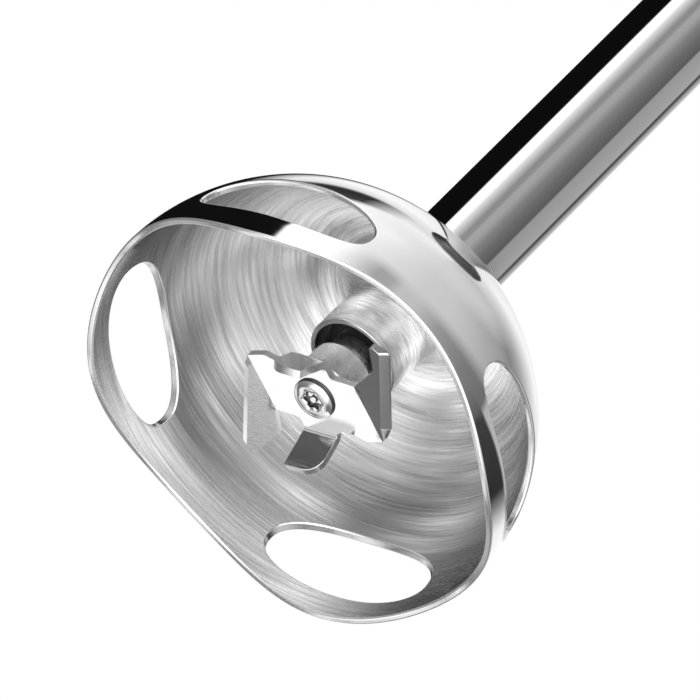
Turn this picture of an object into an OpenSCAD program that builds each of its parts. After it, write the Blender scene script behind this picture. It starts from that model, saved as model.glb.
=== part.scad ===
// Corded immersion blender: a steel blending foot with a four-winged blade, and a motor unit that
// lifts off it.
// The origin is on the shaft's axis, in the plane of the rim's lowest edges. +Z runs up along the shaft.
// The controls face -Y.

/* [Blending bell] */
// Radius of the bell over its rim
bell_r = 35; // [33:0.5:45]
// Height of the straight wall above the rim's lowest edges
skirt_h = 3.5; // [3:0.1:6]
// Height of the dome's ellipse above the straight wall
dome_h = 34.6; // [30:0.2:45]
// Thickness of the bell's sheet
bell_wall = 1.1; // [0.8:0.1:1.6]
// Depth of the scallops between the rim's lobes
scallop_h = 3.4; // [2:0.1:4]
// Height ground off each lobe, so that the bell stands on four flats
lobe_flat_h = 0.05; // [0.02:0.01:0.2]
// Half width of a window
window_half_w = 14.2; // [10:0.1:16]
// Height of a window's widest line
window_mid_z = 8.8; // [8:0.1:12]
// Height of a window above its widest line
window_rise = 6.8; // [4:0.1:9]
// Depth of a window below its widest line
window_drop = 4.2; // [2:0.1:4.4]

/* [Blade] */
// Height of the blade's lower face
blade_z = 8; // [7.8:0.1:10]
// Thickness of the blade's sheet
blade_t = 1.2; // [0.8:0.1:1.6]
// Distance from the axis to the fold of a drop wing
fold_y = 6.1; // [6:0.1:7]
// Width of a drop wing
drop_wing_w = 5.8; // [5:0.1:6.5]
// Length of a drop wing
drop_wing_len = 7.3; // [5:0.1:7.4]
// Angle of a drop wing below the plate
drop_wing_bend = 69; // [45:1:80]
// Radius of a drop wing's rounded corner
drop_wing_corner_r = 3; // [1:0.1:4]
// Reach of a long wing's tip along the wing
long_wing_reach = 13.2; // [11:0.1:15]
// Radius of the blade's screw head
screw_head_r = 3.4; // [3:0.1:4]
// Height of the blade's screw head
screw_head_h = 0.8; // [0.6:0.1:1.2]
// Radius of the blade's screw thread
screw_r = 1.5; // [1.2:0.1:1.8]
// Length of the blade's screw below its head
screw_len = 10; // [6:0.5:14]
// Radius of the boss behind the blade
boss_r = 5; // [4.5:0.1:5.4]
// Height of the boss behind the blade
boss_h = 6.4; // [5:0.1:8]
// Chamfer on the boss's lower edge
boss_chamfer = 0.9; // [0.4:0.1:1.2]
// Radius of the boss's neck
neck_r = 4.2; // [3.8:0.1:4.5]

/* [Foot tube and shaft] */
// Radius of the foot's tube
tube_r = 7.75; // [7.4:0.05:10]
// Wall of the foot's tube
tube_wall = 0.9; // [0.6:0.1:1.2]
// Length of tube between the dome and the collar
tube_len = 112; // [80:1:150]
// Depth of the tube's seat in the dome
tube_seat = 3.6; // [2:0.2:5]
// Depth of the tube's seat in the collar
collar_seat = 24; // [16:1:28]
// Gap between the boss and the hub's mouth
hub_gap = 2.1; // [1.5:0.1:3]
// Radius of the hub inside the bell
hub_r = 7.25; // [7.1:0.05:7.6]
// Radius of the shaft seal's seat in the hub
seal_r = 6.5; // [6.3:0.05:6.7]
// Height of the shaft seal
seal_h = 3; // [2:0.1:4]
// Depth of the shaft seal above the hub's mouth
seal_depth = 1.6; // [1:0.1:2]
// Outer radius of the shaft's bushes
bush_r = 6; // [5:0.1:6.2]
// Radius of the drive shaft
shaft_r = 3; // [2.5:0.1:3.4]
// Radial running clearance of shafts in their bushes
running_gap = 0.05; // [0.02:0.01:0.1]
// Length of the upper bush
upper_bush_len = 8; // [6:1:12]

/* [Collar] */
// Length of the collar from its narrow end to the joint face
collar_len = 47; // [40:1:60]
// Thickness of the collar's plastic around the tube
collar_lip = 1.3; // [1:0.1:2]
// Radius of the spigot that enters the motor unit
spigot_r = 17; // [15:0.5:18]
// Height of the spigot above the joint face
spigot_h = 10; // [8:0.5:12]
// Wall of the spigot
spigot_wall = 3; // [2.5:0.5:4]
// Radial clearance of the spigot in its socket
socket_gap = 0.3; // [0.2:0.05:0.5]
// Gap between the faces of the collar and the nose
joint_gap = 0.3; // [0.2:0.05:0.5]
// Radius of the driven coupling
coupling_r = 8; // [7:0.5:9]
// Radius over the corners of the driving hexagon
hex_r = 4.8; // [4.2:0.1:5.2]
// Clearance of the hexagon in its socket
hex_gap = 0.4; // [0.3:0.05:0.6]
// Engaged length of the hexagon
hex_len = 9; // [6:0.5:9]

/* [Motor unit shape] */
// Radius of the nose at the joint face
nose_r = 23; // [22:0.5:25]
// Length of the nose
nose_len = 29; // [26:1:34]
// Largest radius of the handle
belly_r = 29.5; // [28.5:0.5:33]
// Distance from the joint face to the largest radius
belly_up = 104; // [90:1:130]
// Radius of the handle at its top
top_r = 26.5; // [26:0.5:28]
// Length of the housing shells
shell_len = 142; // [138:1:170]
// Wall of the housing shells
shell_wall = 2.4; // [2:0.1:3]
// Thickness of the soft grip and of the control panel
pad_t = 1.2; // [0.8:0.1:1.6]
// Height of the speed dial
dial_h = 11; // [8:0.5:14]
// Radius of the neck that the speed dial turns on
dial_neck_r = 20; // [18:0.5:21]
// Gap above and below the speed dial
dial_gap = 0.4; // [0.3:0.05:0.6]
// Height of the top cap above the speed dial
cap_h = 8; // [6:0.5:12]
// Radius of the cord gland
gland_r = 5.5; // [5:0.1:7]
// Radius of the bore for the cord
cord_bore_r = 3.4; // [2.5:0.1:4]
// Height of the cord gland above the cap
gland_proud = 3; // [2:0.5:6]

/* [Controls] */
// Radius of the power button
power_r = 8; // [6.5:0.5:8.5]
// Radius of the turbo button
turbo_r = 6.5; // [5:0.5:7]
// Distance between the two buttons
button_pitch = 21; // [19:0.5:24]
// Travel of the two finger buttons
button_travel = 2.5; // [1.5:0.1:3]
// Clearance around every button
button_gap = 0.35; // [0.3:0.05:0.6]
// Height of the buttons above the surface around them
button_proud = 1; // [0.5:0.1:1.5]
// Radius of the release buttons
release_r = 6; // [5:0.5:6.5]
// Travel of the release buttons
release_travel = 2.5; // [1.5:0.1:3]
// Wire radius of the button springs
spring_wire_r = 0.4; // [0.3:0.05:0.5]
// Turns of each button spring
spring_turns = 4; // [3:1:5]

/* [Motor] */
// Radius of the stator's laminations
stator_r = 21; // [20:0.5:22]
// Height of the lamination stacks
stack_h = 30; // [24:1:34]
// Radius of the armature
armature_r = 12; // [11:0.5:12.5]
// Air gap between the armature and the stator
air_gap = 0.5; // [0.4:0.05:0.8]
// Radius of the commutator
commutator_r = 8; // [7:0.5:9]
// Height of the commutator
commutator_h = 11; // [9:0.5:12]
// Number of armature slots and commutator bars
slot_count = 12; // [8:2:16]
// Radius of the cooling fan
fan_r = 17; // [15:0.5:17]
// Height of the cooling fan
fan_h = 8; // [6:0.5:9]
// Number of fan blades
fan_blades = 9; // [7:1:11]
// Outer radius of the motor's bearings
bearing_r = 5.5; // [5:0.1:6.5]
// Height of the motor's bearings
bearing_h = 7; // [5:0.5:8]
// Thickness of the motor's end brackets
bracket_t = 4; // [3:0.5:5]
// Radial clearance of the lower end bracket in the nose's lip
bracket_gap = 0.25; // [0.1:0.05:0.5]

/* [Hidden] */
$fn = 96;
eps = 0.01;
// Number of windows, and of lobes on the rim
window_count = 4;
// Clearance of parts that are pressed or glued together
snug = 0.05;

// Heights of the foot
dome_top_z = skirt_h + dome_h * sqrt(1 - pow(tube_r / bell_r, 2));
tube_z0 = dome_top_z - tube_seat;
boss_z0 = blade_z + blade_t;
boss_top_z = boss_z0 + boss_h;
hub_z0 = boss_top_z + hub_gap;
seal_z0 = hub_z0 + seal_depth;
bush_z0 = seal_z0 + seal_h;
collar_z0 = dome_top_z + tube_len;
tube_z1 = collar_z0 + collar_seat;
joint_z = collar_z0 + collar_len;
spigot_z1 = joint_z + spigot_h;
carrier_z0 = tube_z1 + 2;
carrier_r = spigot_r - spigot_wall - 1;
circlip_z0 = carrier_z0 + upper_bush_len + 0.5;
circlip_t = 0.8;
coupling_z1 = spigot_z1 - 2;
coupling_z0 = circlip_z0 + circlip_t + 1.2;
shaft_z1 = coupling_z1 - hex_len - 1.5;

// Heights of the motor unit
nose_z0 = joint_z + joint_gap;
gasket_z0 = spigot_z1 + joint_gap;
gasket_t = 0.6;
nose_floor_z = gasket_z0 + gasket_t;
nose_floor_t = 2.6;
nose_z1 = nose_z0 + nose_len;
release_z = nose_floor_z + nose_floor_t + release_r + 1.2;
shell_z1 = nose_z1 + shell_len;
belly_z = nose_z0 + belly_up;
dial_z0 = shell_z1 + dial_gap;
dial_z1 = dial_z0 + dial_h;
cap_z0 = dial_z1 + dial_gap;
cap_z1 = cap_z0 + cap_h;
cap_flange_t = 3;
cap_flange_z0 = shell_z1 - cap_flange_t - 2;

// Heights of the motor
bracket_z0 = nose_z1 + 1;
bearing_z0 = bracket_z0 - 2;
fan_z0 = bearing_z0 + bearing_h + 2;
coil_overhang = 5.5;
stack_z0 = fan_z0 + fan_h + coil_overhang + 1.5;
stack_z1 = stack_z0 + stack_h;
commutator_z0 = stack_z1 + coil_overhang + 2.5;
commutator_z1 = commutator_z0 + commutator_h;
top_bracket_z0 = commutator_z1 + 3;
top_bearing_z0 = top_bracket_z0 - 1;
motor_shaft_z0 = nose_floor_z - 2;
motor_shaft_z1 = top_bearing_z0 + bearing_h + 1;
lip_t = 1.55;
lip_r = skin_r(nose_z1) - shell_wall - snug;
bracket_r = lip_r - lip_t - bracket_gap;
top_bracket_r = stator_r + 0.5;
post_r = 1.6;
post_ring_r = min(stator_r, bracket_r) - post_r - 0.1;

// Places of the controls
board_z0 = motor_shaft_z1 + 3;
board_z1 = cap_flange_z0 - 2;
board_y = -3;
board_t = 1.6;
board_half_w = 14;
turbo_z = board_z0 + turbo_r + 4;
power_z = turbo_z + button_pitch;
panel_z0 = turbo_z - turbo_r - 5;
panel_z1 = power_z + power_r + 4;
panel_half_angle = 27;
grip_half_angle = 62;
grip_z0 = nose_z1 + 12;
grip_z1 = shell_z1 - 15;
switch_depth = 10;
switch_y = board_y - board_t - switch_depth;
plunger_len = 3.2;
button_back_y = switch_y - plunger_len - button_travel - 0.5;
latch_frame_r = 13.6;
spring_shut_len = 3.5;
release_back_x = latch_frame_r + spring_shut_len + release_travel;
screw_x = 19.6;
screw_shank_r = 1.4;
screw_heads_r = 2.8;
screw_boss_r = 3.6;
screw_z = [board_z0 + 3, board_z1 - 3];
screw_boss_y = 17;
screw_seat_y = screw_boss_y - 3;
screw_tip_y = 4 - screw_boss_y;

// Radius of the motor unit's outer surface at a height
function skin_r(z) = z < belly_z
    ? nose_r + (belly_r - nose_r) * sin(90 * (z - nose_z0) / (belly_z - nose_z0))
    : top_r + (belly_r - top_r) * cos(90 * (z - belly_z) / (cap_z1 - belly_z));

// Points along the motor unit's skin, from height a to height b, moved in by d
function skin(a, b, d = 0, steps = 12) =
    [for (i = [0:steps]) let (z = a + (b - a) * i / steps) [skin_r(z) - d, z]];

// Reverses a list of points
function flip(points) = [for (i = [len(points) - 1:-1:0]) points[i]];

// Points on the dome's ellipse, from angle a to angle b, moved in by d
function dome(a, b, d = 0, steps = 20) =
    [for (i = [0:steps]) let (t = a + (b - a) * i / steps)
        [(bell_r - d) * cos(t), skirt_h + (dome_h - d) * sin(t)]];

// Height of the rim at a distance y across a lobe
function rim_z(y) = let (phi = asin(min(1, abs(y) / bell_r)))
    max(0, scallop_h * (1 - pow((1 + cos(window_count * phi)) / 2, 1.09)) - lobe_flat_h);

// Half of a window's outline: a superellipse of height h and power p
function window_arc(h, p, side, steps = 14) =
    [for (i = [0:steps]) let (a = -90 + 180 * i / steps)
        [window_half_w * sign(sin(a)) * pow(abs(sin(a)), 2 / p),
         window_mid_z + side * h * pow(abs(cos(a)), 2 / p)]];

// A ring or tube between two heights
module ring(outer, inner, z0, z1) {
    translate([0, 0, z0]) difference() {
        cylinder(r = outer, h = z1 - z0);
        translate([0, 0, -1]) cylinder(r = inner, h = z1 - z0 + 2);
    }
}

// A disc between two heights
module disc(r, z0, z1) {
    translate([0, 0, z0]) cylinder(r = r, h = z1 - z0);
}

// A prism cut outwards along +X from an outline in the Y-Z plane
module cut_outwards(from, to) {
    translate([from, 0, 0]) rotate([90, 0, 90]) linear_extrude(to - from) children();
}

// Bell with its dome, skirt, hub, scalloped rim and four windows
module bell_guard() {
    seat_angle = acos(tube_r / bell_r);
    flare_r = 8;
    flare_end_angle = acos((hub_r + flare_r) / (bell_r - bell_wall));
    flare_top_z = skirt_h + (dome_h - bell_wall) * sin(flare_end_angle);
    lobe_half_w = bell_r * sin(180 / window_count) + 0.05;
    rim_steps = 28;
    flare = [for (i = [0:6]) let (a = 15 * i)
        [hub_r + flare_r * (1 - cos(a)), flare_top_z - flare_r * (1 - sin(a)) - 1]];
    color("silver") difference() {
        rotate_extrude() polygon(concat(
            [[bell_r, 0]], dome(0, seat_angle),
            [[tube_r, tube_z0], [bush_r, tube_z0], [bush_r, bush_z0], [seal_r, bush_z0], [seal_r, hub_z0],
             [hub_r, hub_z0]],
            flare,
            flip(dome(0, flare_end_angle - 2, bell_wall)),
            [[bell_r - bell_wall, 0]]));
        for (k = [0:window_count - 1]) rotate(k * 360 / window_count) {
            cut_outwards(bell_r * cos(180 / window_count) - 2, bell_r + 2) polygon(concat(
                [for (i = [0:rim_steps]) let (y = lobe_half_w * (2 * i / rim_steps - 1)) [y, rim_z(y)]],
                [[lobe_half_w, -2], [-lobe_half_w, -2]]));
            cut_outwards(bell_r / 2, bell_r + 2) polygon(concat(
                window_arc(window_rise, 2.2, 1), flip(window_arc(window_drop, 2.6, -1))));
        }
    }
}

// Steel tube between the bell and the collar
module shaft_tube() {
    color("gainsboro") ring(tube_r, tube_r - tube_wall, tube_z0, tube_z1);
}

// Lip seal in the hub's mouth
module shaft_seal() {
    lip = 0.7;
    color("dimgray") difference() {
        disc(seal_r, seal_z0, bush_z0);
        disc(shaft_r + running_gap, seal_z0 - 1, bush_z0 + 1);
        translate([0, 0, seal_z0 - eps]) difference() {
            cylinder(r = seal_r - lip, h = seal_h / 2);
            cylinder(r = shaft_r + lip + 0.3, h = seal_h / 2);
        }
    }
}

// Bronze bush in the hub
module lower_bush() {
    color("peru") ring(bush_r, shaft_r + running_gap, bush_z0, tube_z0);
}

// Plastic collar that joins the tube to the motor unit
module foot_collar() {
    throat_r = tube_r + collar_lip;
    flare_len = collar_len - 12;
    steps = 12;
    flare = [for (i = [0:steps]) let (u = i / steps)
        [throat_r + 0.6 + (nose_r - 1.2 - throat_r) * (1 - cos(90 * u)), collar_z0 + 8 + flare_len * u]];
    color("darkslategray") difference() {
        rotate_extrude() polygon(concat(
            [[tube_r, collar_z0], [throat_r, collar_z0]], flare,
            [[nose_r, joint_z - 1.5], [nose_r, joint_z], [spigot_r, joint_z], [spigot_r, spigot_z1 - 1],
             [spigot_r - 1, spigot_z1], [spigot_r - spigot_wall, spigot_z1],
             [spigot_r - spigot_wall, joint_z - 3],
             [carrier_r, joint_z - 6], [carrier_r, carrier_z0], [tube_r - tube_wall, carrier_z0],
             [tube_r - tube_wall, tube_z1], [tube_r, tube_z1]]));
        for (side = [0, 180]) rotate(side) translate([spigot_r + 0.2, 0, joint_z + spigot_h / 2])
            cube([3, 9, 3.4], center = true);
    }
}

// Plastic disc that carries the upper bush inside the collar
module bearing_carrier() {
    rib_count = 6;
    color("lightslategray") difference() {
        disc(carrier_r, carrier_z0, carrier_z0 + upper_bush_len);
        disc(bush_r, carrier_z0 - 1, carrier_z0 + upper_bush_len + 1);
        for (k = [0:rib_count - 1]) rotate(k * 360 / rib_count)
            translate([(bush_r + carrier_r) / 2, 0, carrier_z0 + 2]) cylinder(r = 1.8, h = upper_bush_len);
    }
}

// Bronze bush at the top of the foot
module upper_bush() {
    color("peru") ring(bush_r, shaft_r + running_gap, carrier_z0, carrier_z0 + upper_bush_len);
}

// Corners of the blade's plate and long wings on one side of the axis. Turned by half a turn, they give
// the other side.
function half_blade() = [
    [-drop_wing_w / 2, fold_y], [-3.4, 4.4], [-7.7, 4.3], [-9.9, 8.7],
    [-12.4, long_wing_reach], [-13.9, long_wing_reach], [-14.9, long_wing_reach - 1],
    [-12.4, -2.3], [-11.6, -4], [-10.2, -5], [-8.2, -5.4], [-5.9, -4.9], [-4.2, -4.9],
    [-drop_wing_w / 2, -fold_y]
];

// One short wing, folded down along its edge, with one rounded corner
module drop_wing() {
    bend_steps = 8;
    root = 1;
    corner_r = drop_wing_corner_r;
    along = [cos(drop_wing_bend), -sin(drop_wing_bend)];
    across = blade_t * [sin(drop_wing_bend), cos(drop_wing_bend)];
    bend = [for (i = [0:bend_steps]) let (a = 90 - drop_wing_bend * i / bend_steps)
        blade_t * [cos(a), sin(a)]];
    translate([0, fold_y, blade_z]) difference() {
        rotate([90, 0, 90]) linear_extrude(drop_wing_w, center = true) polygon(concat(
            [[-root, 0], [-root, blade_t]], bend,
            [drop_wing_len * along + across, drop_wing_len * along, [0, 0]]));
        rotate([-drop_wing_bend, 0, 0])
            translate([drop_wing_w / 2 - corner_r, drop_wing_len - corner_r, -1]) difference() {
                cube([corner_r + 1, corner_r + 1, blade_t + 2]);
                translate([0, 0, -1]) cylinder(r = corner_r, h = blade_t + 4);
            }
    }
}

// Four-winged blade: a plate with two long swept wings and two short wings folded down
module blade() {
    outline = concat(half_blade(), -half_blade());
    color("whitesmoke") difference() {
        union() {
            translate([0, 0, blade_z]) linear_extrude(blade_t) polygon(outline);
            for (side = [0, 180]) rotate(side) drop_wing();
        }
        disc(screw_r, blade_z - 1, boss_z0 + 1);
    }
}

// Boss that clamps the blade to the shaft
module blade_boss() {
    color("lightgray") difference() {
        rotate_extrude() polygon([
            [0, boss_z0], [boss_r - boss_chamfer, boss_z0], [boss_r, boss_z0 + boss_chamfer],
            [boss_r, boss_top_z - 0.5], [boss_r - 0.5, boss_top_z], [neck_r, boss_top_z],
            [neck_r, hub_z0 + seal_depth - 0.6], [0, hub_z0 + seal_depth - 0.6]]);
        disc(shaft_r, boss_z0 + 2, seal_z0);
        disc(screw_r, boss_z0 - 1, seal_z0);
    }
}

// Screw that holds the blade, with a six-lobed recess
module blade_screw() {
    lobe_ring_r = 1.1;
    recess_h = 0.6;
    color("silver") difference() {
        union() {
            rotate_extrude() polygon([
                [0, blade_z - screw_head_h], [screw_head_r - 0.8, blade_z - screw_head_h],
                [screw_head_r - 0.2, blade_z - screw_head_h + 0.3], [screw_head_r, blade_z - 0.2],
                [screw_head_r, blade_z], [0, blade_z]]);
            disc(screw_r, blade_z, blade_z + screw_len);
        }
        translate([0, 0, blade_z - screw_head_h - eps]) {
            cylinder(r = lobe_ring_r, h = recess_h);
            for (k = [0:5]) rotate(60 * k) translate([lobe_ring_r, 0, 0])
                cylinder(r = 0.4, h = recess_h, $fn = 24);
        }
    }
}

// Long shaft that turns the blade
module drive_shaft() {
    color("darkgray") difference() {
        disc(shaft_r, boss_z0 + 2, shaft_z1);
        disc(screw_r, boss_z0, blade_z + screw_len);
    }
}

// Retaining clip above the upper bush
module shaft_circlip() {
    color("dimgray") difference() {
        ring(shaft_r + 2, shaft_r, circlip_z0, circlip_z0 + circlip_t);
        translate([shaft_r - 1, -0.8, circlip_z0 - 1]) cube([4, 1.6, circlip_t + 2]);
    }
}

// Plastic coupling at the top of the foot, with a hexagonal socket
module driven_coupling() {
    color("black") difference() {
        union() {
            disc(coupling_r, coupling_z0 + 3, coupling_z1);
            disc(coupling_r - 2.5, coupling_z0, coupling_z0 + 4);
        }
        disc(shaft_r, coupling_z0 - 1, shaft_z1);
        translate([0, 0, coupling_z1 - hex_len - 0.5])
            cylinder(r = hex_r + hex_gap, h = hex_len + 2, $fn = 6);
    }
}

// Lower end of the motor unit, with the socket for the foot
module nose_housing() {
    wall = 3;
    lip_h = 5;
    color("dimgray") difference() {
        union() {
            rotate_extrude() polygon(concat(
                [[spigot_r + socket_gap, nose_z0], [nose_r, nose_z0]],
                skin(nose_z0 + 0.5, nose_z1, 0, 10),
                [[lip_r, nose_z1], [lip_r, nose_z1 + lip_h], [lip_r - lip_t, nose_z1 + lip_h],
                 [lip_r - lip_t, nose_z1 - 2],
                 [skin_r(nose_floor_z + nose_floor_t) - wall, nose_floor_z + nose_floor_t],
                 [coupling_r + 3, nose_floor_z + nose_floor_t], [coupling_r + 3, nose_floor_z],
                 [spigot_r + socket_gap, nose_floor_z]]));
            ring(latch_frame_r, latch_frame_r - 2, nose_floor_z + 1, release_z + release_r - 1);
        }
        for (side = [0, 180]) rotate(side) translate([latch_frame_r + 1.5, 0, release_z])
            rotate([0, 90, 0]) cylinder(r = release_r + button_gap, h = 20);
    }
}

// Gasket on the floor of the socket
module nose_gasket() {
    color("black") ring(spigot_r + socket_gap, spigot_r - spigot_wall, gasket_z0, nose_floor_z);
}

// Half of the housing's skin, from the nose to the dial, on the +Y side
module half_skin() {
    rotate_extrude(angle = 180) polygon(concat(
        skin(nose_z1, shell_z1, 0, 16),
        [[dial_neck_r + snug, shell_z1], [dial_neck_r + snug, shell_z1 - 2],
         [skin_r(shell_z1) - shell_wall, shell_z1 - 2]],
        flip(skin(nose_z1, shell_z1 - 2, shell_wall, 16))));
}

// A strip of the skin, d thick, between two angles and two heights. A recess for it is cut with some
// height over it.
module skin_strip(a0, a1, z0, z1, d, over = 0) {
    rotate(a0) rotate_extrude(angle = a1 - a0)
        polygon(concat(skin(z0, z1, -over, 12), flip(skin(z0, z1, d, 12))));
}

// Places of the housing screws
module at_screws() {
    for (x = [-screw_x, screw_x], z = screw_z) translate([x, 0, z]) children();
}

// A cylinder along Y between two places
module along_y(r, y0, y1) {
    translate([0, y0, 0]) rotate([-90, 0, 0]) cylinder(r = r, h = y1 - y0);
}

// Bores for the heads of the housing screws
module screw_head_bores() {
    at_screws() along_y(screw_heads_r + 0.2, screw_seat_y, belly_r + 1);
}

// Rear shell of the housing, with the recess for the grip, the screw bosses and the air slots
module rear_shell() {
    slot_pitch = 9;
    slot_w = 1.8;
    slot_h = 4;
    slot_z0 = nose_z1 + 6.5;
    color("white") difference() {
        union() {
            half_skin();
            at_screws() along_y(screw_boss_r, 0, screw_boss_y);
        }
        skin_strip(90 - grip_half_angle, 90 + grip_half_angle, grip_z0, grip_z1, pad_t, 1);
        at_screws() along_y(screw_shank_r, -1, screw_boss_y);
        screw_head_bores();
        for (k = [-3:3]) rotate(90 + k * slot_pitch) translate([nose_r - 5, -slot_w / 2, slot_z0])
            cube([belly_r, slot_w, slot_h]);
    }
}

// Front shell of the housing, with the recess for the control panel, the button holes and the screw bosses
module front_shell() {
    color("white") difference() {
        union() {
            rotate(180) half_skin();
            at_screws() along_y(screw_boss_r, 2 - screw_boss_y, 0);
        }
        skin_strip(270 - panel_half_angle, 270 + panel_half_angle, panel_z0, panel_z1, pad_t, 1);
        at_screws() along_y(screw_shank_r, screw_tip_y - 0.5, 1);
        button_holes();
    }
}

// Holes for the two finger buttons
module button_holes() {
    for (hole = [[power_r, power_z], [turbo_r, turbo_z]]) translate([0, 0, hole[1]])
        along_y(hole[0] + button_gap, -belly_r - 2, button_back_y + 3);
}

// Rubber grip on the back of the handle
module soft_grip() {
    rib_pitch = 7;
    rib_span = grip_z1 - grip_z0 - 24;
    color("darkslategray") difference() {
        skin_strip(90 - grip_half_angle, 90 + grip_half_angle, grip_z0, grip_z1, pad_t);
        screw_head_bores();
        for (k = [0:floor(rib_span / rib_pitch)]) translate([0, 0, grip_z0 + 12 + k * rib_pitch])
            rotate(90 - grip_half_angle / 2) rotate_extrude(angle = grip_half_angle)
                translate([belly_r + 0.9, 0]) circle(r = 1.2, $fn = 24);
    }
}

// Smooth panel around the finger buttons
module control_panel() {
    color("darkslategray") difference() {
        skin_strip(270 - panel_half_angle, 270 + panel_half_angle, panel_z0, panel_z1, pad_t);
        button_holes();
    }
}

// Cap over the top of the handle, with the neck for the dial and the seat of the gland
module top_cap() {
    round_r = 4;
    neck_wall = 2.5;
    flange_r = skin_r(shell_z1) - shell_wall - 0.1;
    cap_r = skin_r(cap_z0);
    color("dimgray") difference() {
        rotate_extrude() polygon(concat(
            [[dial_neck_r - neck_wall, cap_flange_z0], [flange_r, cap_flange_z0],
             [flange_r, cap_flange_z0 + cap_flange_t], [dial_neck_r, cap_flange_z0 + cap_flange_t],
             [dial_neck_r, cap_z0], [cap_r, cap_z0]],
            [for (i = [0:6]) let (a = 15 * i)
                [cap_r - round_r * (1 - cos(a)), cap_z1 - round_r * (1 - sin(a)) - 1]],
            [[gland_r + 2, cap_z1], [0, cap_z1], [0, cap_z1 - 3], [dial_neck_r - neck_wall, cap_z1 - 3]]));
        disc(gland_r, cap_z1 - 4, cap_z1 + 1);
    }
}

// Rubber gland that the cord enters by
module cord_gland() {
    flange_r = gland_r + 1.8;
    color("black") difference() {
        rotate_extrude() polygon([
            [0, cap_z1 - 6], [flange_r, cap_z1 - 6], [flange_r, cap_z1 - 3], [gland_r, cap_z1 - 3],
            [gland_r, cap_z1 + gland_proud - 1], [gland_r - 1, cap_z1 + gland_proud],
            [0, cap_z1 + gland_proud]]);
        disc(cord_bore_r, cap_z1 - 8, cap_z1 + gland_proud + 1);
    }
}

// Screws that hold the two shells together
module housing_screws() {
    seat = screw_seat_y + 0.02;
    head_h = 1.8;
    cross_w = 3.4;
    cross_depth = 0.8;
    color("silver") at_screws() difference() {
        union() {
            along_y(screw_heads_r, seat, seat + head_h);
            along_y(screw_shank_r, screw_tip_y, seat);
        }
        for (turn = [0, 90]) translate([0, seat + head_h, 0]) rotate([0, turn, 0])
            cube([cross_w, 2 * cross_depth, 0.7], center = true);
    }
}

// Posts that stand between a bracket and the stator, beside the field coils
module posts(z0, z1) {
    for (side = [90, 270], turn = [-20, 20]) rotate(side + turn) translate([post_ring_r, 0, z0])
        cylinder(r = post_r, h = z1 - z0, $fn = 32);
}

// Lower end bracket of the motor
module lower_bracket() {
    color("lightsteelblue") difference() {
        union() {
            disc(bracket_r, bracket_z0, bracket_z0 + bracket_t);
            disc(bearing_r + 2, bearing_z0, bearing_z0 + bearing_h);
            posts(bracket_z0 + 1, stack_z0);
        }
        disc(bearing_r, bearing_z0 - 1, bearing_z0 + bearing_h + 1);
        for (k = [0:3]) rotate(90 * k) translate([13.5, 0, bracket_z0 - 1])
            cylinder(r = 3.5, h = bracket_t + 2);
    }
}

// Upper end bracket of the motor
module upper_bracket() {
    color("lightsteelblue") difference() {
        union() {
            disc(top_bracket_r, top_bracket_z0, top_bracket_z0 + bracket_t);
            disc(bearing_r + 2, top_bearing_z0, top_bearing_z0 + bearing_h);
            posts(stack_z1, top_bracket_z0 + bracket_t - 1);
        }
        disc(bearing_r, top_bearing_z0 - 1, top_bearing_z0 + bearing_h + 1);
        for (k = [0:3]) rotate(45 + 90 * k) translate([13, 0, top_bracket_z0 - 1])
            cylinder(r = 3, h = bracket_t + 2);
    }
}

// Bearings of the motor shaft
module lower_bearing() {
    color("peru") ring(bearing_r, shaft_r + running_gap, bearing_z0, bearing_z0 + bearing_h);
}

module upper_bearing() {
    color("peru") ring(bearing_r, shaft_r + running_gap, top_bearing_z0, top_bearing_z0 + bearing_h);
}

// A curved block between two radii, centred on an angle
module sector(inner, outer, mid_angle, half_angle, z0, z1) {
    rotate(mid_angle - half_angle) rotate_extrude(angle = 2 * half_angle)
        translate([inner, z0]) square([outer - inner, z1 - z0]);
}

// Laminated stator with its two coil windows
module stator_core() {
    color("slategray") difference() {
        disc(stator_r, stack_z0, stack_z1);
        disc(armature_r + air_gap, stack_z0 - 1, stack_z1 + 1);
        for (side = [0, 180]) sector(armature_r + 2, stator_r - 2.4, side, 60, stack_z0 - 1, stack_z1 + 1);
    }
}

// Field windings of the stator
module field_coils() {
    color("chocolate") for (side = [0, 180])
        sector(armature_r + 2.1, stator_r - 2.5, side, 59,
               stack_z0 - coil_overhang, stack_z1 + coil_overhang);
}

// Brass holders of the carbon brushes
module brush_holders() {
    mid_z = (commutator_z0 + commutator_z1) / 2;
    color("gold") for (side = [0, 180]) rotate(side) difference() {
        union() {
            translate([commutator_r + 1.5, -3.6, mid_z - 4.6])
                cube([stator_r - commutator_r - 2, 7.2, 9.2]);
            translate([commutator_r + 5, -2, mid_z + 4]) cube([4, 4, top_bracket_z0 - mid_z - 4]);
        }
        translate([commutator_r, -2.6, mid_z - 3.6]) cube([stator_r - commutator_r - 2, 5.2, 7.2]);
    }
}

// Carbon brushes on the commutator
module carbon_brushes() {
    mid_z = (commutator_z0 + commutator_z1) / 2;
    brush_len = stator_r - commutator_r - 5;
    color("black") for (side = [0, 180]) rotate(side)
        translate([commutator_r + 0.3, -2.5, mid_z - 3.5]) cube([brush_len, 5, 7]);
}

// Circuit board of the speed control
module circuit_board() {
    color("green") translate([-board_half_w, board_y - board_t, board_z0])
        cube([2 * board_half_w, board_t, board_z1 - board_z0]);
}

// Capacitor, choke and heat sink on the board
module board_parts() {
    color("goldenrod") {
        translate([-7, board_y, board_z0 + 12]) rotate([-90, 0, 0]) cylinder(r = 6, h = 13);
        translate([7, board_y, board_z0 + 10]) rotate([-90, 0, 0]) cylinder(r = 4, h = 10);
        for (k = [0:3]) translate([-10 + 6 * k, board_y, board_z1 - 18]) cube([1.6, 12, 14]);
        translate([-10, board_y, board_z1 - 18]) cube([19.6, 2, 14]);
    }
}

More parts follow.
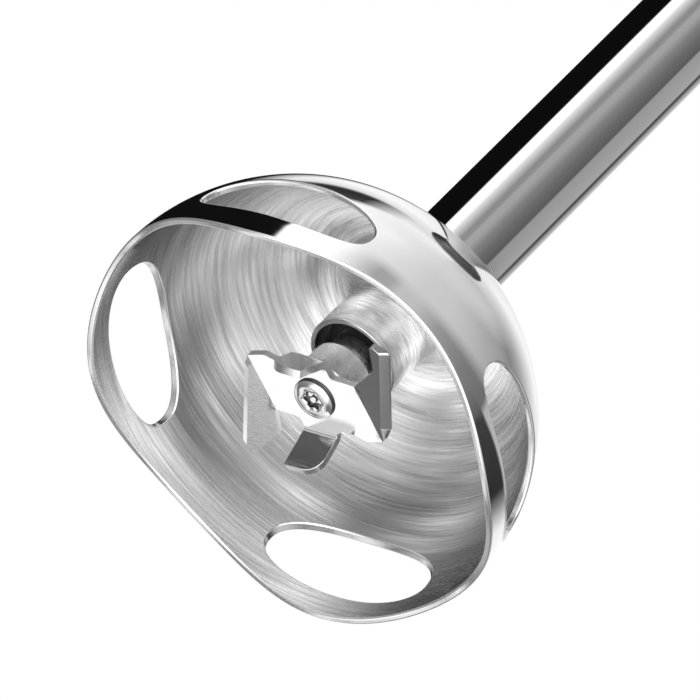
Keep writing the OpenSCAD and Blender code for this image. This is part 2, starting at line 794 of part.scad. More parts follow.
// Two switches behind the finger buttons
module switches() {
    color("darkslateblue") for (z = [turbo_z, power_z]) translate([0, 0, z]) {
        translate([-6, switch_y, -4]) cube([12, switch_depth, 8]);
        translate([0, switch_y, 0]) rotate([90, 0, 0]) cylinder(r = 1.6, h = plunger_len);
    }
}

// Laminated armature with its winding slots
module armature_core() {
    color("slategray") difference() {
        disc(armature_r, stack_z0, stack_z1);
        disc(shaft_r, stack_z0 - 1, stack_z1 + 1);
        for (k = [0:slot_count - 1]) rotate(k * 360 / slot_count) translate([7, -1.1, stack_z0 - 1])
            cube([3.6, 2.2, stack_h + 2]);
        for (k = [0:slot_count - 1]) rotate(k * 360 / slot_count) translate([9, -0.5, stack_z0 - 1])
            cube([5, 1, stack_h + 2]);
    }
}

// Copper windings of the armature
module armature_windings() {
    end_h = 4.5;
    color("chocolate") {
        ring(10.5, 4.5, stack_z0 - end_h, stack_z0);
        ring(10.5, 4.5, stack_z1, stack_z1 + end_h);
        for (k = [0:slot_count - 1]) rotate(k * 360 / slot_count) translate([7.1, -1, stack_z0 - 1])
            cube([3.3, 2, stack_h + 2]);
    }
}

// Commutator with its copper bars
module commutator() {
    color("orange") difference() {
        union() {
            disc(commutator_r, commutator_z0, commutator_z1);
            disc(commutator_r + 1, commutator_z0 - 1.5, commutator_z0);
        }
        disc(shaft_r, commutator_z0 - 2, commutator_z1 + 1);
        for (k = [0:slot_count - 1]) rotate(k * 360 / slot_count)
            translate([commutator_r - 0.8, -0.25, commutator_z0 - 2]) cube([3, 0.5, commutator_h + 4]);
    }
}

// Shaft of the motor
module motor_shaft() {
    color("darkgray") disc(shaft_r, motor_shaft_z0, motor_shaft_z1);
}

// Fan that cools the motor
module cooling_fan() {
    plate_t = 1.6;
    tip_r = min(fan_r, post_ring_r - post_r - 0.5);
    color("ivory") difference() {
        union() {
            disc(tip_r, fan_z0, fan_z0 + plate_t);
            disc(shaft_r + 2.5, fan_z0, fan_z0 + fan_h);
            for (k = [0:fan_blades - 1]) rotate(k * 360 / fan_blades) translate([shaft_r + 1, 0, fan_z0])
                rotate(14) cube([tip_r - shaft_r - 2, 1.2, fan_h]);
        }
        disc(shaft_r, fan_z0 - 1, fan_z0 + fan_h + 1);
    }
}

// Plastic coupling on the motor shaft, with the driving hexagon
module drive_coupling() {
    disc_z1 = nose_floor_z + nose_floor_t;
    color("black") difference() {
        union() {
            translate([0, 0, coupling_z1 - hex_len])
                cylinder(r = hex_r, h = nose_floor_z - coupling_z1 + hex_len, $fn = 6);
            disc(coupling_r, nose_floor_z - 0.5, disc_z1);
        }
        disc(shaft_r, motor_shaft_z0, disc_z1 + 1);
    }
}

// A round button of a given length, with its back on the origin and its face towards +Z
module button_blank(r, length, guide_r = 0, guide_len = 0) {
    edge = 1;
    rotate_extrude() polygon([
        [0, guide_len], [guide_r, guide_len], [guide_r, 0], [r, 0], [r, length - edge],
        [r - edge, length], [0, length]]);
}

// A finger button along -Y, with a guide hole for the switch's plunger
module finger_button(r, z) {
    color("silver") translate([0, button_back_y, z]) rotate([90, 0, 0])
        button_blank(r, skin_r(z) + button_proud + button_back_y, 2.2, 3);
}

module power_button() {
    finger_button(power_r, power_z);
}

module turbo_button() {
    finger_button(turbo_r, turbo_z);
}

// Ring that sets the speed, with finger grooves
module speed_dial() {
    groove_count = 36;
    outer = skin_r((dial_z0 + dial_z1) / 2);
    color("gray") difference() {
        rotate_extrude() polygon([
            [dial_neck_r + running_gap, dial_z0], [outer - 0.8, dial_z0], [outer, dial_z0 + 0.8],
            [outer, dial_z1 - 0.8], [outer - 0.8, dial_z1], [dial_neck_r + running_gap, dial_z1]]);
        for (k = [0:groove_count - 1]) rotate(k * 360 / groove_count)
            translate([outer + 0.5, 0, dial_z0 - 1]) cylinder(r = 1, h = dial_h + 2, $fn = 24);
    }
}

// A button on the side of the nose that frees the foot
module release_button() {
    face_x = skin_r(release_z) + button_proud;
    color("darkslategray") difference() {
        translate([release_back_x, 0, release_z]) rotate([0, 90, 0])
            button_blank(release_r, face_x - release_back_x);
        for (k = [-1:1]) translate([face_x, 0, release_z + 2.4 * k]) cube([0.8, 8, 0.9], center = true);
    }
}

module release_button_left() {
    rotate(180) release_button();
}

module release_button_right() {
    release_button();
}

// A coil spring along +Z from the origin: a round wire swept along a helix
module coil_spring(r, length) {
    sides = 6;
    per_turn = 14;
    rings = per_turn * spring_turns;
    rise = length - 2 * spring_wire_r;
    centre = function (i) [
        r * cos(360 * i / per_turn), r * sin(360 * i / per_turn), spring_wire_r + rise * i / rings];
    points = [for (i = [0:rings], k = [0:sides - 1])
        let (a = 360 * i / per_turn, b = 360 * k / sides, m = centre(i))
            [m[0] + spring_wire_r * cos(b) * cos(a), m[1] + spring_wire_r * cos(b) * sin(a),
             m[2] + spring_wire_r * sin(b)]];
    last = rings * sides;
    faces = concat(
        [[for (k = [0:sides - 1]) k]],
        [for (i = [0:rings - 1], k = [0:sides - 1]) let (a = i * sides + k, b = i * sides + (k + 1) % sides)
            [a, a + sides, b + sides, b]],
        [[for (k = [sides - 1:-1:0]) last + k]]);
    color("lightgray") polyhedron(points, faces);
}

module finger_spring(z) {
    translate([0, switch_y - 0.1, z]) rotate([90, 0, 0]) coil_spring(3.6, switch_y - button_back_y - 0.2);
}

module power_spring() {
    finger_spring(power_z);
}

module turbo_spring() {
    finger_spring(turbo_z);
}

module release_spring() {
    translate([latch_frame_r + 0.1, 0, release_z]) rotate([0, 90, 0])
        coil_spring(3.2, release_back_x - latch_frame_r - 0.2);
}

module release_spring_left() {
    rotate(180) release_spring();
}

module release_spring_right() {
    release_spring();
}

bell_guard();
shaft_tube();
shaft_seal();
lower_bush();
foot_collar();
bearing_carrier();
upper_bush();
blade();
blade_boss();
blade_screw();
drive_shaft();
shaft_circlip();
driven_coupling();
nose_housing();
nose_gasket();
front_shell();
rear_shell();
soft_grip();
control_panel();
top_cap();
cord_gland();
housing_screws();
lower_bracket();
upper_bracket();
lower_bearing();
upper_bearing();
stator_core();
field_coils();
brush_holders();
carbon_brushes();
circuit_board();
board_parts();
switches();
armature_core();
armature_windings();
commutator();
motor_shaft();
cooling_fan();
drive_coupling();
power_button();
power_spring();
turbo_button();
turbo_spring();
speed_dial();
release_button_left();
release_button_right();
release_spring_left();
release_spring_right();
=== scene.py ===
import math

import bmesh
import bpy
import numpy as np
from mathutils import Matrix, Vector
from mathutils.geometry import delaunay_2d_cdt


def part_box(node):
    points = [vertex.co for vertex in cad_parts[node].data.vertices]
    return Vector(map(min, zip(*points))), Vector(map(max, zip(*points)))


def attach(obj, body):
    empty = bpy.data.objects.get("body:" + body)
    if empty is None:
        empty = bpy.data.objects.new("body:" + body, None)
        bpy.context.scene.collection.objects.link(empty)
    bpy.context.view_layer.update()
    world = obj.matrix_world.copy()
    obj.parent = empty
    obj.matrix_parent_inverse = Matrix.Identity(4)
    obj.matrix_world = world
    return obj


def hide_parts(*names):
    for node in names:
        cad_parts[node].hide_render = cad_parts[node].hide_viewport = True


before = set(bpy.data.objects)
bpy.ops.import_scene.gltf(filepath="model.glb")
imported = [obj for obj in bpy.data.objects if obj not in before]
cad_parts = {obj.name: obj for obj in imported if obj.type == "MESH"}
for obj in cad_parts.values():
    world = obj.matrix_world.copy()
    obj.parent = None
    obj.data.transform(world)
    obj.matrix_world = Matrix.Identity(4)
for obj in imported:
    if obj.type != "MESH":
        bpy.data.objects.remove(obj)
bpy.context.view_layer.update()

# Lengths in this script are in millimetres until a mesh is made, when they are scaled to metres.
MM = 0.001
TAU = 2 * math.pi


def low(node):
    """Lowest corner of a CAD node, in millimetres."""
    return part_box(node)[0] / MM


def high(node):
    """Highest corner of a CAD node, in millimetres."""
    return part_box(node)[1] / MM


# ---- Camera, floor and studio ----

CAMERA_TARGET = (-1.01, -0.90, 19.0)
CAMERA_AZIMUTH = 41.63
CAMERA_ELEVATION = -39.04
CAMERA_ROLL = 45.08
CAMERA_DISTANCE = 910.75
CAMERA_LENS = 321.65
FLOOR_SIZE = 9.0
FLOOR_FADE = (0.25, 1.4)
FLOOR_GAP = 0.0003
FLOOR_GLOW = 0.55


def make_camera():
    """The view from below into the bell, with the shaft running up to the right."""
    a, e = math.radians(CAMERA_AZIMUTH), math.radians(CAMERA_ELEVATION)
    to_camera = Vector((math.sin(a) * math.cos(e), -math.cos(a) * math.cos(e), math.sin(e)))
    data = bpy.data.cameras.new("camera")
    data.lens = CAMERA_LENS
    data.sensor_width = 36
    data.clip_start, data.clip_end = 0.01, 50
    camera = bpy.data.objects.new("camera", data)
    camera.location = (Vector(CAMERA_TARGET) + to_camera * CAMERA_DISTANCE) * MM
    upright = to_camera.to_track_quat("Z", "Y").to_matrix().to_4x4()
    roll = Matrix.Rotation(math.radians(CAMERA_ROLL), 4, "Z")
    camera.matrix_world = Matrix.Translation(camera.location) @ upright @ roll
    bpy.context.scene.collection.objects.link(camera)
    bpy.context.scene.camera = camera


def make_floor():
    """A pale floor that only the camera sees, and only from above. It takes no shadow from the object."""
    half = FLOOR_SIZE / 2
    mesh = bpy.data.meshes.new("floor")
    mesh.from_pydata([(-half, -half, -FLOOR_GAP), (half, -half, -FLOOR_GAP), (half, half, -FLOOR_GAP),
                      (-half, half, -FLOOR_GAP)], [], [(0, 1, 2, 3)])
    floor = bpy.data.objects.new("floor", mesh)
    bpy.context.scene.collection.objects.link(floor)
    material, tree, paper = new_material("floor_paper")
    paper.inputs["Base Color"].default_value = (0.9, 0.9, 0.9, 1)
    paper.inputs["Roughness"].default_value = 0.8
    glow = tree.nodes.new("ShaderNodeEmission")
    glow.inputs["Color"].default_value = (1, 1, 1, 1)
    lit = mix_shaders(tree, FLOOR_GLOW, paper.outputs[0], glow.outputs[0])
    clear = tree.nodes.new("ShaderNodeBsdfTransparent")
    side = tree.nodes.new("ShaderNodeNewGeometry")
    centre = tree.nodes.new("ShaderNodeVectorMath")
    centre.operation = "LENGTH"
    tree.links.new(side.outputs["Position"], centre.inputs[0])
    away = remap(tree, centre.outputs["Value"], 0, 1, *FLOOR_FADE)
    gone = math_node(tree, "MAXIMUM", away, side.outputs["Backfacing"])
    tree.links.new(mix_shaders(tree, gone, lit, clear.outputs[0]), tree.nodes["Material Output"].inputs["Surface"])
    floor.data.materials.append(material)
    floor.visible_diffuse = False
    floor.visible_glossy = False
    floor.visible_transmission = False
    floor.visible_shadow = False


# Brightness of the studio round the object, as (degrees from +X, grey), from just over the horizon to overhead.
# Each ring takes over from the one before it between two sines of the height.
STUDIO_RINGS = [
    (None, [(-180, 0.30), (-120, 0.55), (-60, 0.75), (0, 0.62), (60, 0.45), (100, 0.85), (140, 0.95),
            (180, 0.30)]),
    ((0.10, 0.45), [(-180, 0.006), (-121, 0.006), (-117, 2.2), (-100, 1.9), (-92, 1.2), (-80, 0.8), (-70, 0.5),
                    (-62, 0.52), (-56, 0.68), (-46, 0.66), (-30, 0.42), (-10, 0.27), (13, 0.13), (17, 0.05),
                    (58, 0.03), (66, 0.25), (84, 1.0), (130, 1.2), (136, 0.006), (180, 0.006)]),
    ((0.643, 0.648), [(-180, 0.006), (-121, 0.006), (-117, 2.2), (-100, 1.9), (-92, 1.2), (-80, 0.75), (-70, 0.42),
                      (-62, 0.45), (-56, 0.62), (-46, 0.60), (-30, 0.36), (-10, 0.24), (13, 0.17), (17, 0.52),
                      (66, 0.60), (72, 0.10), (78, 0.12), (84, 0.40), (100, 0.65), (130, 1.2), (136, 0.006),
                      (180, 0.006)]),
    ((0.72, 0.80), [(-180, 0.03), (-160, 0.06), (-150, 1.1), (-95, 1.05), (-70, 0.83), (-50, 0.70), (-30, 0.67),
                    (-10, 0.57), (10, 0.46), (30, 0.38), (50, 0.27), (70, 0.43), (90, 0.73), (110, 1.05),
                    (130, 0.85), (150, 1.08), (168, 0.87), (174, 0.05), (180, 0.03)]),
    ((0.93, 0.975), [(-180, 0.82), (-150, 1.02), (-110, 0.95), (-50, 0.75), (30, 0.66), (60, 0.60), (110, 0.85),
                     (150, 0.95), (180, 0.82)])]
# Brightness of what lies under the horizon, by the sine of the height: dark flags with lit gaps between them
STUDIO_BELOW = [(-1, 0.75), (-0.80, 0.9), (-0.7298, 0.95), (-0.7282, 0.13), (-0.69, 0.16), (-0.675, 1.25),
                (-0.585, 1.25), (-0.57, 0.10), (-0.504, 0.05), (-0.494, 0.26), (-0.40, 0.26), (-0.36, 0.5),
                (0.0, 0.5), (1, 0.8)]
STUDIO_BELOW_AROUND = [(-180, 0.22), (-130, 0.45), (-90, 1.6), (-48, 2.3), (-10, 1.5), (25, 0.7), (45, 0.6),
                       (70, 0.2), (100, 0.2), (180, 0.22)]
# How much the flags under the horizon show, by degrees from +X
STUDIO_FLAG_WEIGHT = [(-180, 0), (108, 0), (116, 1), (148, 1), (156, 0), (180, 0)]
STUDIO_FOOT = 1.9
STUDIO_STRENGTH = 1.0


def ramp(tree, value, stops, low_edge, high_edge):
    """A colour ramp on a value from 0 to 1, through (place, grey) stops between two edges; returns its colour."""
    node = tree.nodes.new("ShaderNodeValToRGB")
    elements = node.color_ramp.elements
    for k, (where, grey) in enumerate(stops):
        at = (where - low_edge) / (high_edge - low_edge)
        if 0 < k < len(stops) - 1:
            element = elements.new(at)
        else:
            element = elements[0 if k == 0 else len(elements) - 1]
            element.position = at
        element.color = (grey, grey, grey, 1)
    tree.links.new(value, node.inputs[0])
    return node.outputs["Color"]


def blend(tree, factor, a, b):
    """A colour between two, by a factor."""
    node = tree.nodes.new("ShaderNodeMix")
    node.data_type = "RGBA"
    tree.links.new(factor, node.inputs[0])
    tree.links.new(a, node.inputs[6])
    tree.links.new(b, node.inputs[7])
    return node.outputs[2]


def make_world():
    """A white studio with dark flags round it. The camera sees it as plain white."""
    world = bpy.data.worlds.new("studio")
    bpy.context.scene.world = world
    bpy.context.scene.view_settings.view_transform = "Standard"
    world.use_nodes = True
    tree = world.node_tree
    x, y, height = split_coordinates(tree, "Generated")
    angle = math_node(tree, "ARCTAN2", y, x)
    turn = math_node(tree, "MULTIPLY_ADD", angle, 1 / TAU, 0.5)
    colour = None
    for edges, stops in STUDIO_RINGS:
        ring = ramp(tree, turn, stops, -180, 180)
        if edges is None:
            colour = ring
        else:
            colour = blend(tree, remap(tree, height, 0, 1, *edges), colour, ring)
    half_height = math_node(tree, "MULTIPLY_ADD", height, 0.5, 0.5)
    bands = ramp(tree, half_height, STUDIO_BELOW, -1, 1)
    below = blend(tree, ramp(tree, turn, STUDIO_FLAG_WEIGHT, -180, 180),
                  ramp(tree, turn, STUDIO_BELOW_AROUND, -180, 180), bands)
    foot = tree.nodes.new("ShaderNodeRGB")
    foot.outputs[0].default_value = (STUDIO_FOOT, STUDIO_FOOT, STUDIO_FOOT, 1)
    below = blend(tree, remap(tree, height, 1, 0, -0.95, -0.80), below, foot.outputs[0])
    colour = blend(tree, remap(tree, height, 1, 0, -0.12, 0.02), colour, below)
    seen = tree.nodes.new("ShaderNodeLightPath")
    plain = tree.nodes.new("ShaderNodeBackground")
    plain.inputs["Color"].default_value = (1, 1, 1, 1)
    plain.inputs["Strength"].default_value = 1.0
    studio = tree.nodes["Background"]
    tree.links.new(colour, studio.inputs["Color"])
    studio.inputs["Strength"].default_value = STUDIO_STRENGTH
    tree.links.new(mix_shaders(tree, seen.outputs["Is Camera Ray"], studio.outputs[0], plain.outputs[0]),
              tree.nodes["World Output"].inputs["Surface"])


# ---- Materials ----

def new_material(name, metallic=0.0):
    """A material with its node tree and its Principled shader."""
    material = bpy.data.materials.new(name)
    material.use_nodes = True
    shader = material.node_tree.nodes["Principled BSDF"]
    shader.inputs["Metallic"].default_value = metallic
    return material, material.node_tree, shader


def dress(tree, shader, colour, rough, normal):
    """Feeds a shader its colour, roughness and normal."""
    for name, socket in (("Base Color", colour), ("Roughness", rough), ("Normal", normal)):
        tree.links.new(socket, shader.inputs[name])


def mix_shaders(tree, factor, a, b):
    """One shader turning into another, by a factor that is a socket or a number."""
    node = tree.nodes.new("ShaderNodeMixShader")
    if isinstance(factor, float):
        node.inputs[0].default_value = factor
    else:
        tree.links.new(factor, node.inputs[0])
    tree.links.new(a, node.inputs[1])
    tree.links.new(b, node.inputs[2])
    return node.outputs[0]


def split_coordinates(tree, kind="Object"):
    """The X, Y and Z of a texture coordinate."""
    coordinates = tree.nodes.new("ShaderNodeTexCoord")
    parts = tree.nodes.new("ShaderNodeSeparateXYZ")
    tree.links.new(coordinates.outputs[kind], parts.inputs[0])
    return parts.outputs


def math_node(tree, operation, *values):
    """A Math node fed with sockets or numbers; returns its output."""
    node = tree.nodes.new("ShaderNodeMath")
    node.operation = operation
    for k, value in enumerate(values):
        if isinstance(value, (int, float)):
            node.inputs[k].default_value = value
        else:
            tree.links.new(value, node.inputs[k])
    return node.outputs[0]


def noise(tree, vector, scale, detail=2.0, roughness=0.5):
    """A Noise texture on a vector; returns its grey output."""
    node = tree.nodes.new("ShaderNodeTexNoise")
    node.inputs["Scale"].default_value = scale
    node.inputs["Detail"].default_value = detail
    node.inputs["Roughness"].default_value = roughness
    tree.links.new(vector, node.inputs["Vector"])
    return node.outputs["Fac"]


def remap(tree, value, to_low, to_high, from_low=0.3, from_high=0.7):
    """Carries a value from one range to another."""
    node = tree.nodes.new("ShaderNodeMapRange")
    node.inputs["From Min"].default_value = from_low
    node.inputs["From Max"].default_value = from_high
    node.inputs["To Min"].default_value = to_low
    node.inputs["To Max"].default_value = to_high
    tree.links.new(value, node.inputs["Value"])
    return node.outputs["Result"]


def tint(tree, factor, dark, light):
    """A colour between two, by a factor."""
    node = tree.nodes.new("ShaderNodeMix")
    node.data_type = "RGBA"
    node.inputs["A"].default_value = (*dark, 1)
    node.inputs["B"].default_value = (*light, 1)
    tree.links.new(factor, node.inputs["Factor"])
    return node.outputs["Result"]


def bump(tree, height, strength, distance):
    """A Bump node in metres; returns its normal."""
    node = tree.nodes.new("ShaderNodeBump")
    node.inputs["Strength"].default_value = strength
    node.inputs["Distance"].default_value = distance
    tree.links.new(height, node.inputs["Height"])
    return node.outputs["Normal"]


def place(tree, scale=(1, 1, 1)):
    """Object coordinates, stretched."""
    coordinates = tree.nodes.new("ShaderNodeTexCoord")
    mapping = tree.nodes.new("ShaderNodeMapping")
    mapping.inputs["Scale"].default_value = scale
    tree.links.new(coordinates.outputs["Object"], mapping.inputs["Vector"])
    return mapping.outputs["Vector"]


def streaks(tree, turns, across, detail):
    """Noise drawn out round the shaft's axis: how often it changes on the way round, and per metre across."""
    x, y, z = split_coordinates(tree)
    radius = math_node(tree, "POWER", math_node(
        tree, "ADD", math_node(tree, "MULTIPLY", x, x), math_node(tree, "MULTIPLY", y, y)), 0.5)
    safe = math_node(tree, "MAXIMUM", radius, 0.0001)
    join = tree.nodes.new("ShaderNodeCombineXYZ")
    for k, side in enumerate((x, y)):
        tree.links.new(math_node(tree, "MULTIPLY", math_node(tree, "DIVIDE", side, safe), turns),
                  join.inputs[k])
    tree.links.new(math_node(tree, "MULTIPLY", radius, across), join.inputs[2])
    node = tree.nodes.new("ShaderNodeTexNoise")
    node.noise_dimensions = "4D"
    node.inputs["Scale"].default_value = 1.0
    node.inputs["Detail"].default_value = detail
    tree.links.new(join.outputs[0], node.inputs["Vector"])
    tree.links.new(math_node(tree, "MULTIPLY", z, across), node.inputs["W"])
    return node.outputs["Fac"]


def polished_steel(name, grey=0.86, rough=0.045):
    """Mirror-polished steel with faint polishing marks."""
    material, tree, shader = new_material(name, metallic=1.0)
    cloud = noise(tree, place(tree), 60, 3)
    fine = streaks(tree, 6, 5000, 3)
    dress(tree, shader, tint(tree, cloud, [grey * 0.97] * 3, [grey] * 3),
          remap(tree, fine, rough * 0.7, rough * 1.4), bump(tree, fine, 0.05, 0.00002))
    return material


def dimmed(tree, colour, by):
    """A colour made darker by a factor."""
    node = tree.nodes.new("ShaderNodeVectorMath")
    node.operation = "SCALE"
    node.inputs["Scale"].default_value = by
    tree.links.new(colour, node.inputs[0])
    return node.outputs[0]


# Shade painted on the bell's inside. It stands in for a darker room on two sides.
# It isn't a property of the steel.
PAINTED_SHADE = 0.30
SHADE_HEIGHTS = (0.013, 0.028)


def unshaded(tree):
    """How far the inside is free of painted shade: wholly by the hub, less on the walls, least on two sides."""
    x, y, z = split_coordinates(tree)
    xx, yy = math_node(tree, "MULTIPLY", x, x), math_node(tree, "MULTIPLY", y, y)
    square = math_node(tree, "MAXIMUM", math_node(tree, "ADD", xx, yy), 1e-8)
    skew = math_node(tree, "DIVIDE", math_node(tree, "MULTIPLY", x, y), square)
    sides = remap(tree, skew, 0.0, 0.85, 0.5, -0.35)
    return remap_between(tree, z, sides, 1.0, SHADE_HEIGHTS)


def remap_between(tree, value, at_low, at_high, edges):
    """Goes from one value or socket at the lower edge to another at the upper one."""
    rise = remap(tree, value, 0, 1, *edges)
    node = tree.nodes.new("ShaderNodeMix")
    node.data_type = "FLOAT"
    tree.links.new(rise, node.inputs[0])
    for k, end in ((2, at_low), (3, at_high)):
        if isinstance(end, (int, float)):
            node.inputs[k].default_value = end
        else:
            tree.links.new(end, node.inputs[k])
    return node.outputs[0]


def turned_steel(name, grey=0.80, rough=0.24):
    """Steel spun and turned on a lathe: long streaks round the axis, some fine and some broad."""
    material, tree, shader = new_material(name, metallic=1.0)
    shader.inputs["Anisotropic"].default_value = 0.7
    tangent = tree.nodes.new("ShaderNodeTangent")
    tangent.direction_type = "RADIAL"
    tangent.axis = "Z"
    tree.links.new(tangent.outputs[0], shader.inputs["Tangent"])
    fine = streaks(tree, 2.2, 2600, 3)
    broad = streaks(tree, 1.3, 520, 2)
    cloud = streaks(tree, 1.1, 70, 1)
    both = math_node(tree, "MULTIPLY_ADD", broad, 0.4, math_node(tree, "MULTIPLY", fine, 0.6))
    shade = math_node(tree, "MULTIPLY_ADD", cloud, 0.45, math_node(tree, "MULTIPLY", both, 0.55))
    grain = tint(tree, remap(tree, shade, 0, 1, 0.38, 0.60), [grey * 0.50] * 3,
                 [min(1, grey * 1.25)] * 3)
    dark = dimmed(tree, grain, PAINTED_SHADE)
    dress(tree, shader, blend(tree, unshaded(tree), dark, grain),
          remap(tree, both, rough * 1.3, rough * 0.7), bump(tree, both, 0.5, 0.00008))
    return material


def brushed_steel(name, grey=0.78, rough=0.22, scale=(200, 9000, 9000)):
    """Ground steel with streaks along X."""
    material, tree, shader = new_material(name, metallic=1.0)
    streak = noise(tree, place(tree, scale), 1.0, 3, 0.6)
    dress(tree, shader, tint(tree, streak, [grey * 0.85] * 3, [grey] * 3),
          remap(tree, streak, rough * 0.7, rough * 1.3), bump(tree, streak, 0.15, 0.00003))
    return material


def metal(name, colour, rough):
    """Plain machined metal of any colour, with faint mottling."""
    material, tree, shader = new_material(name, metallic=1.0)
    cloud = noise(tree, place(tree), 900, 3)
    dress(tree, shader, tint(tree, cloud, [c * 0.8 for c in colour], colour),
          remap(tree, cloud, rough * 0.8, rough * 1.2), bump(tree, cloud, 0.1, 0.00005))
    return material


def plastic(name, colour, rough, grain=2500, depth=0.15, coat=0.0):
    """Moulded plastic with a fine spark-eroded grain."""
    material, tree, shader = new_material(name)
    shader.inputs["Coat Weight"].default_value = coat
    grainy = noise(tree, place(tree), grain, 2)
    cloud = noise(tree, place(tree), 45, 3)
    dress(tree, shader,
          tint(tree, cloud, [c * 0.93 for c in colour], [min(1, c * 1.04) for c in colour]),
          remap(tree, cloud, rough * 0.88, rough * 1.12), bump(tree, grainy, depth, 0.00006))
    return material


def rubber(name, colour, rough=0.62):
    """Soft moulded rubber: a coarser grain and a slight sheen."""
    material, tree, shader = new_material(name)
    shader.inputs["Sheen Weight"].default_value = 0.15
    grainy = noise(tree, place(tree), 1800, 3, 0.6)
    dusty = noise(tree, place(tree), 70, 4)
    dress(tree, shader,
          tint(tree, dusty, [c * 0.85 for c in colour], [min(1, c * 1.2) for c in colour]),
          remap(tree, dusty, rough * 0.9, rough * 1.1), bump(tree, grainy, 0.3, 0.00008))
    return material


# ---- Mesh tools ----

class Patch:
    """Points with their own normals, and faces between them. Points that meet are joined when the mesh is made."""

    def __init__(self):
        self.points, self.normals, self.faces, self.slots = [], [], [], []

    def add(self, points, normals):
        """Adds a row of points; returns their indices."""
        first = len(self.points)
        self.points += [tuple(p) for p in points]
        self.normals += [tuple(n) for n in normals]
        return list(range(first, len(self.points)))

    def face(self, corners, slot=0):
        self.faces.append(tuple(corners))
        self.slots.append(slot)

    def strip(self, a, b, closed, slot=0):
        """Quads between two rows of the same length."""
        count = len(a)
        for k in range(count if closed else count - 1):
            n = (k + 1) % count
            self.face((a[k], a[n], b[n], b[k]), slot)

    def turned(self, count):
        """Copies round the Z axis, with this one first."""
        whole = Patch()
        points, normals = np.array(self.points), np.array(self.normals)
        for c, s in circle(count):
            turn = np.array([[c, s, 0], [-s, c, 0], [0, 0, 1]])
            first = len(whole.points)
            whole.add(points @ turn, normals @ turn)
            for face, slot in zip(self.faces, self.slots):
                whole.face([first + i for i in face], slot)
        return whole

    def mesh(self, name):
        """The mesh in metres: doubled points joined, faces turned to agree with the normals, which are kept."""
        keys, index, keep = {}, [], []
        for k, p in enumerate(self.points):
            key = tuple(round(c * 2000) for c in p)
            if key not in keys:
                keys[key] = len(keep)
                keep.append(k)
            index.append(keys[key])
        faces, slots, seen = [], [], set()
        for face, slot in zip(self.faces, self.slots):
            corners = []
            for i in face:
                if index[i] not in corners:
                    corners.append(index[i])
            if len(corners) > 2 and frozenset(corners) not in seen:
                seen.add(frozenset(corners))
                a, b, c = (np.array(self.points[keep[i]]) for i in corners[:3])
                if np.dot(np.cross(b - a, c - a), np.sum([self.normals[keep[i]] for i in corners], axis=0)) < 0:
                    corners.reverse()
                faces.append(corners)
                slots.append(slot)
        mesh = bpy.data.meshes.new(name)
        mesh.from_pydata([tuple(c * MM for c in self.points[k]) for k in keep], [], faces)
        mesh.polygons.foreach_set("material_index", slots)
        mesh.polygons.foreach_set("use_smooth", [True] * len(faces))
        normals = np.array([self.normals[k] for k in keep])
        normals /= np.linalg.norm(normals, axis=1)[:, None]
        mesh.normals_split_custom_set_from_vertices(normals.tolist())
        return mesh


def circle(count):
    """The cosine and sine of evenly spaced angles round a circle."""
    return [(math.cos(TAU * k / count), math.sin(TAU * k / count)) for k in range(count)]


def rounded(corners, closed=True, steps=5):
    """An outline whose corners (x, y, radius) are rounded."""
    out = []
    count = len(corners)
    for k, (x, y, r) in enumerate(corners):
        if r <= 0 or (not closed and k in (0, count - 1)):
            out.append((x, y))
            continue
        here = Vector((x, y))
        back = Vector(corners[k - 1][:2]) - here
        ahead = Vector(corners[(k + 1) % count][:2]) - here
        half = back.angle(ahead) / 2
        reach = min(r / math.tan(half), 0.48 * back.length, 0.48 * ahead.length)
        r = reach * math.tan(half)
        start, end = here + back.normalized() * reach, here + ahead.normalized() * reach
        centre = here + (back.normalized() + ahead.normalized()).normalized() * (r / math.sin(half))
        a0 = math.atan2(start.y - centre.y, start.x - centre.x)
        a1 = math.atan2(end.y - centre.y, end.x - centre.x)
        turn = (a1 - a0 + math.pi) % TAU - math.pi
        out += [(centre.x + r * math.cos(a0 + turn * i / steps), centre.y + r * math.sin(a0 + turn * i / steps))
                for i in range(steps + 1)]
    return out


def link_piece(mesh, name, body, nodes, materials):
    """Puts a mesh in the scene as a piece of the object."""
    piece = bpy.data.objects.new(name, mesh)
    bpy.context.scene.collection.objects.link(piece)
    for material in materials:
        mesh.materials.append(material)
    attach(piece, body)
    if nodes:
        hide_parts(*nodes)
    return piece


def smooth_by_angle(mesh, degrees=35):
    """Smooth shading with creases where faces meet at more than an angle."""
    mesh.polygons.foreach_set("use_smooth", [True] * len(mesh.polygons))
    mesh.set_sharp_from_angle(angle=math.radians(degrees))


def finish_mesh(build, name):
    """A bmesh in millimetres as a mesh in metres, with outward faces and smooth shading."""
    bmesh.ops.remove_doubles(build, verts=build.verts, dist=0.0005)
    bmesh.ops.recalc_face_normals(build, faces=build.faces)
    bmesh.ops.scale(build, vec=(MM, MM, MM), verts=build.verts)
    mesh = bpy.data.meshes.new(name)
    build.to_mesh(mesh)
    build.free()
    smooth_by_angle(mesh)
    return mesh


def weighted(piece):
    """Normals led by the larger faces, so that flats stay flat beside small rounds."""
    modifier = piece.modifiers.new("even_normals", "WEIGHTED_NORMAL")
    modifier.keep_sharp = True
    modifier.weight = 80
    return piece


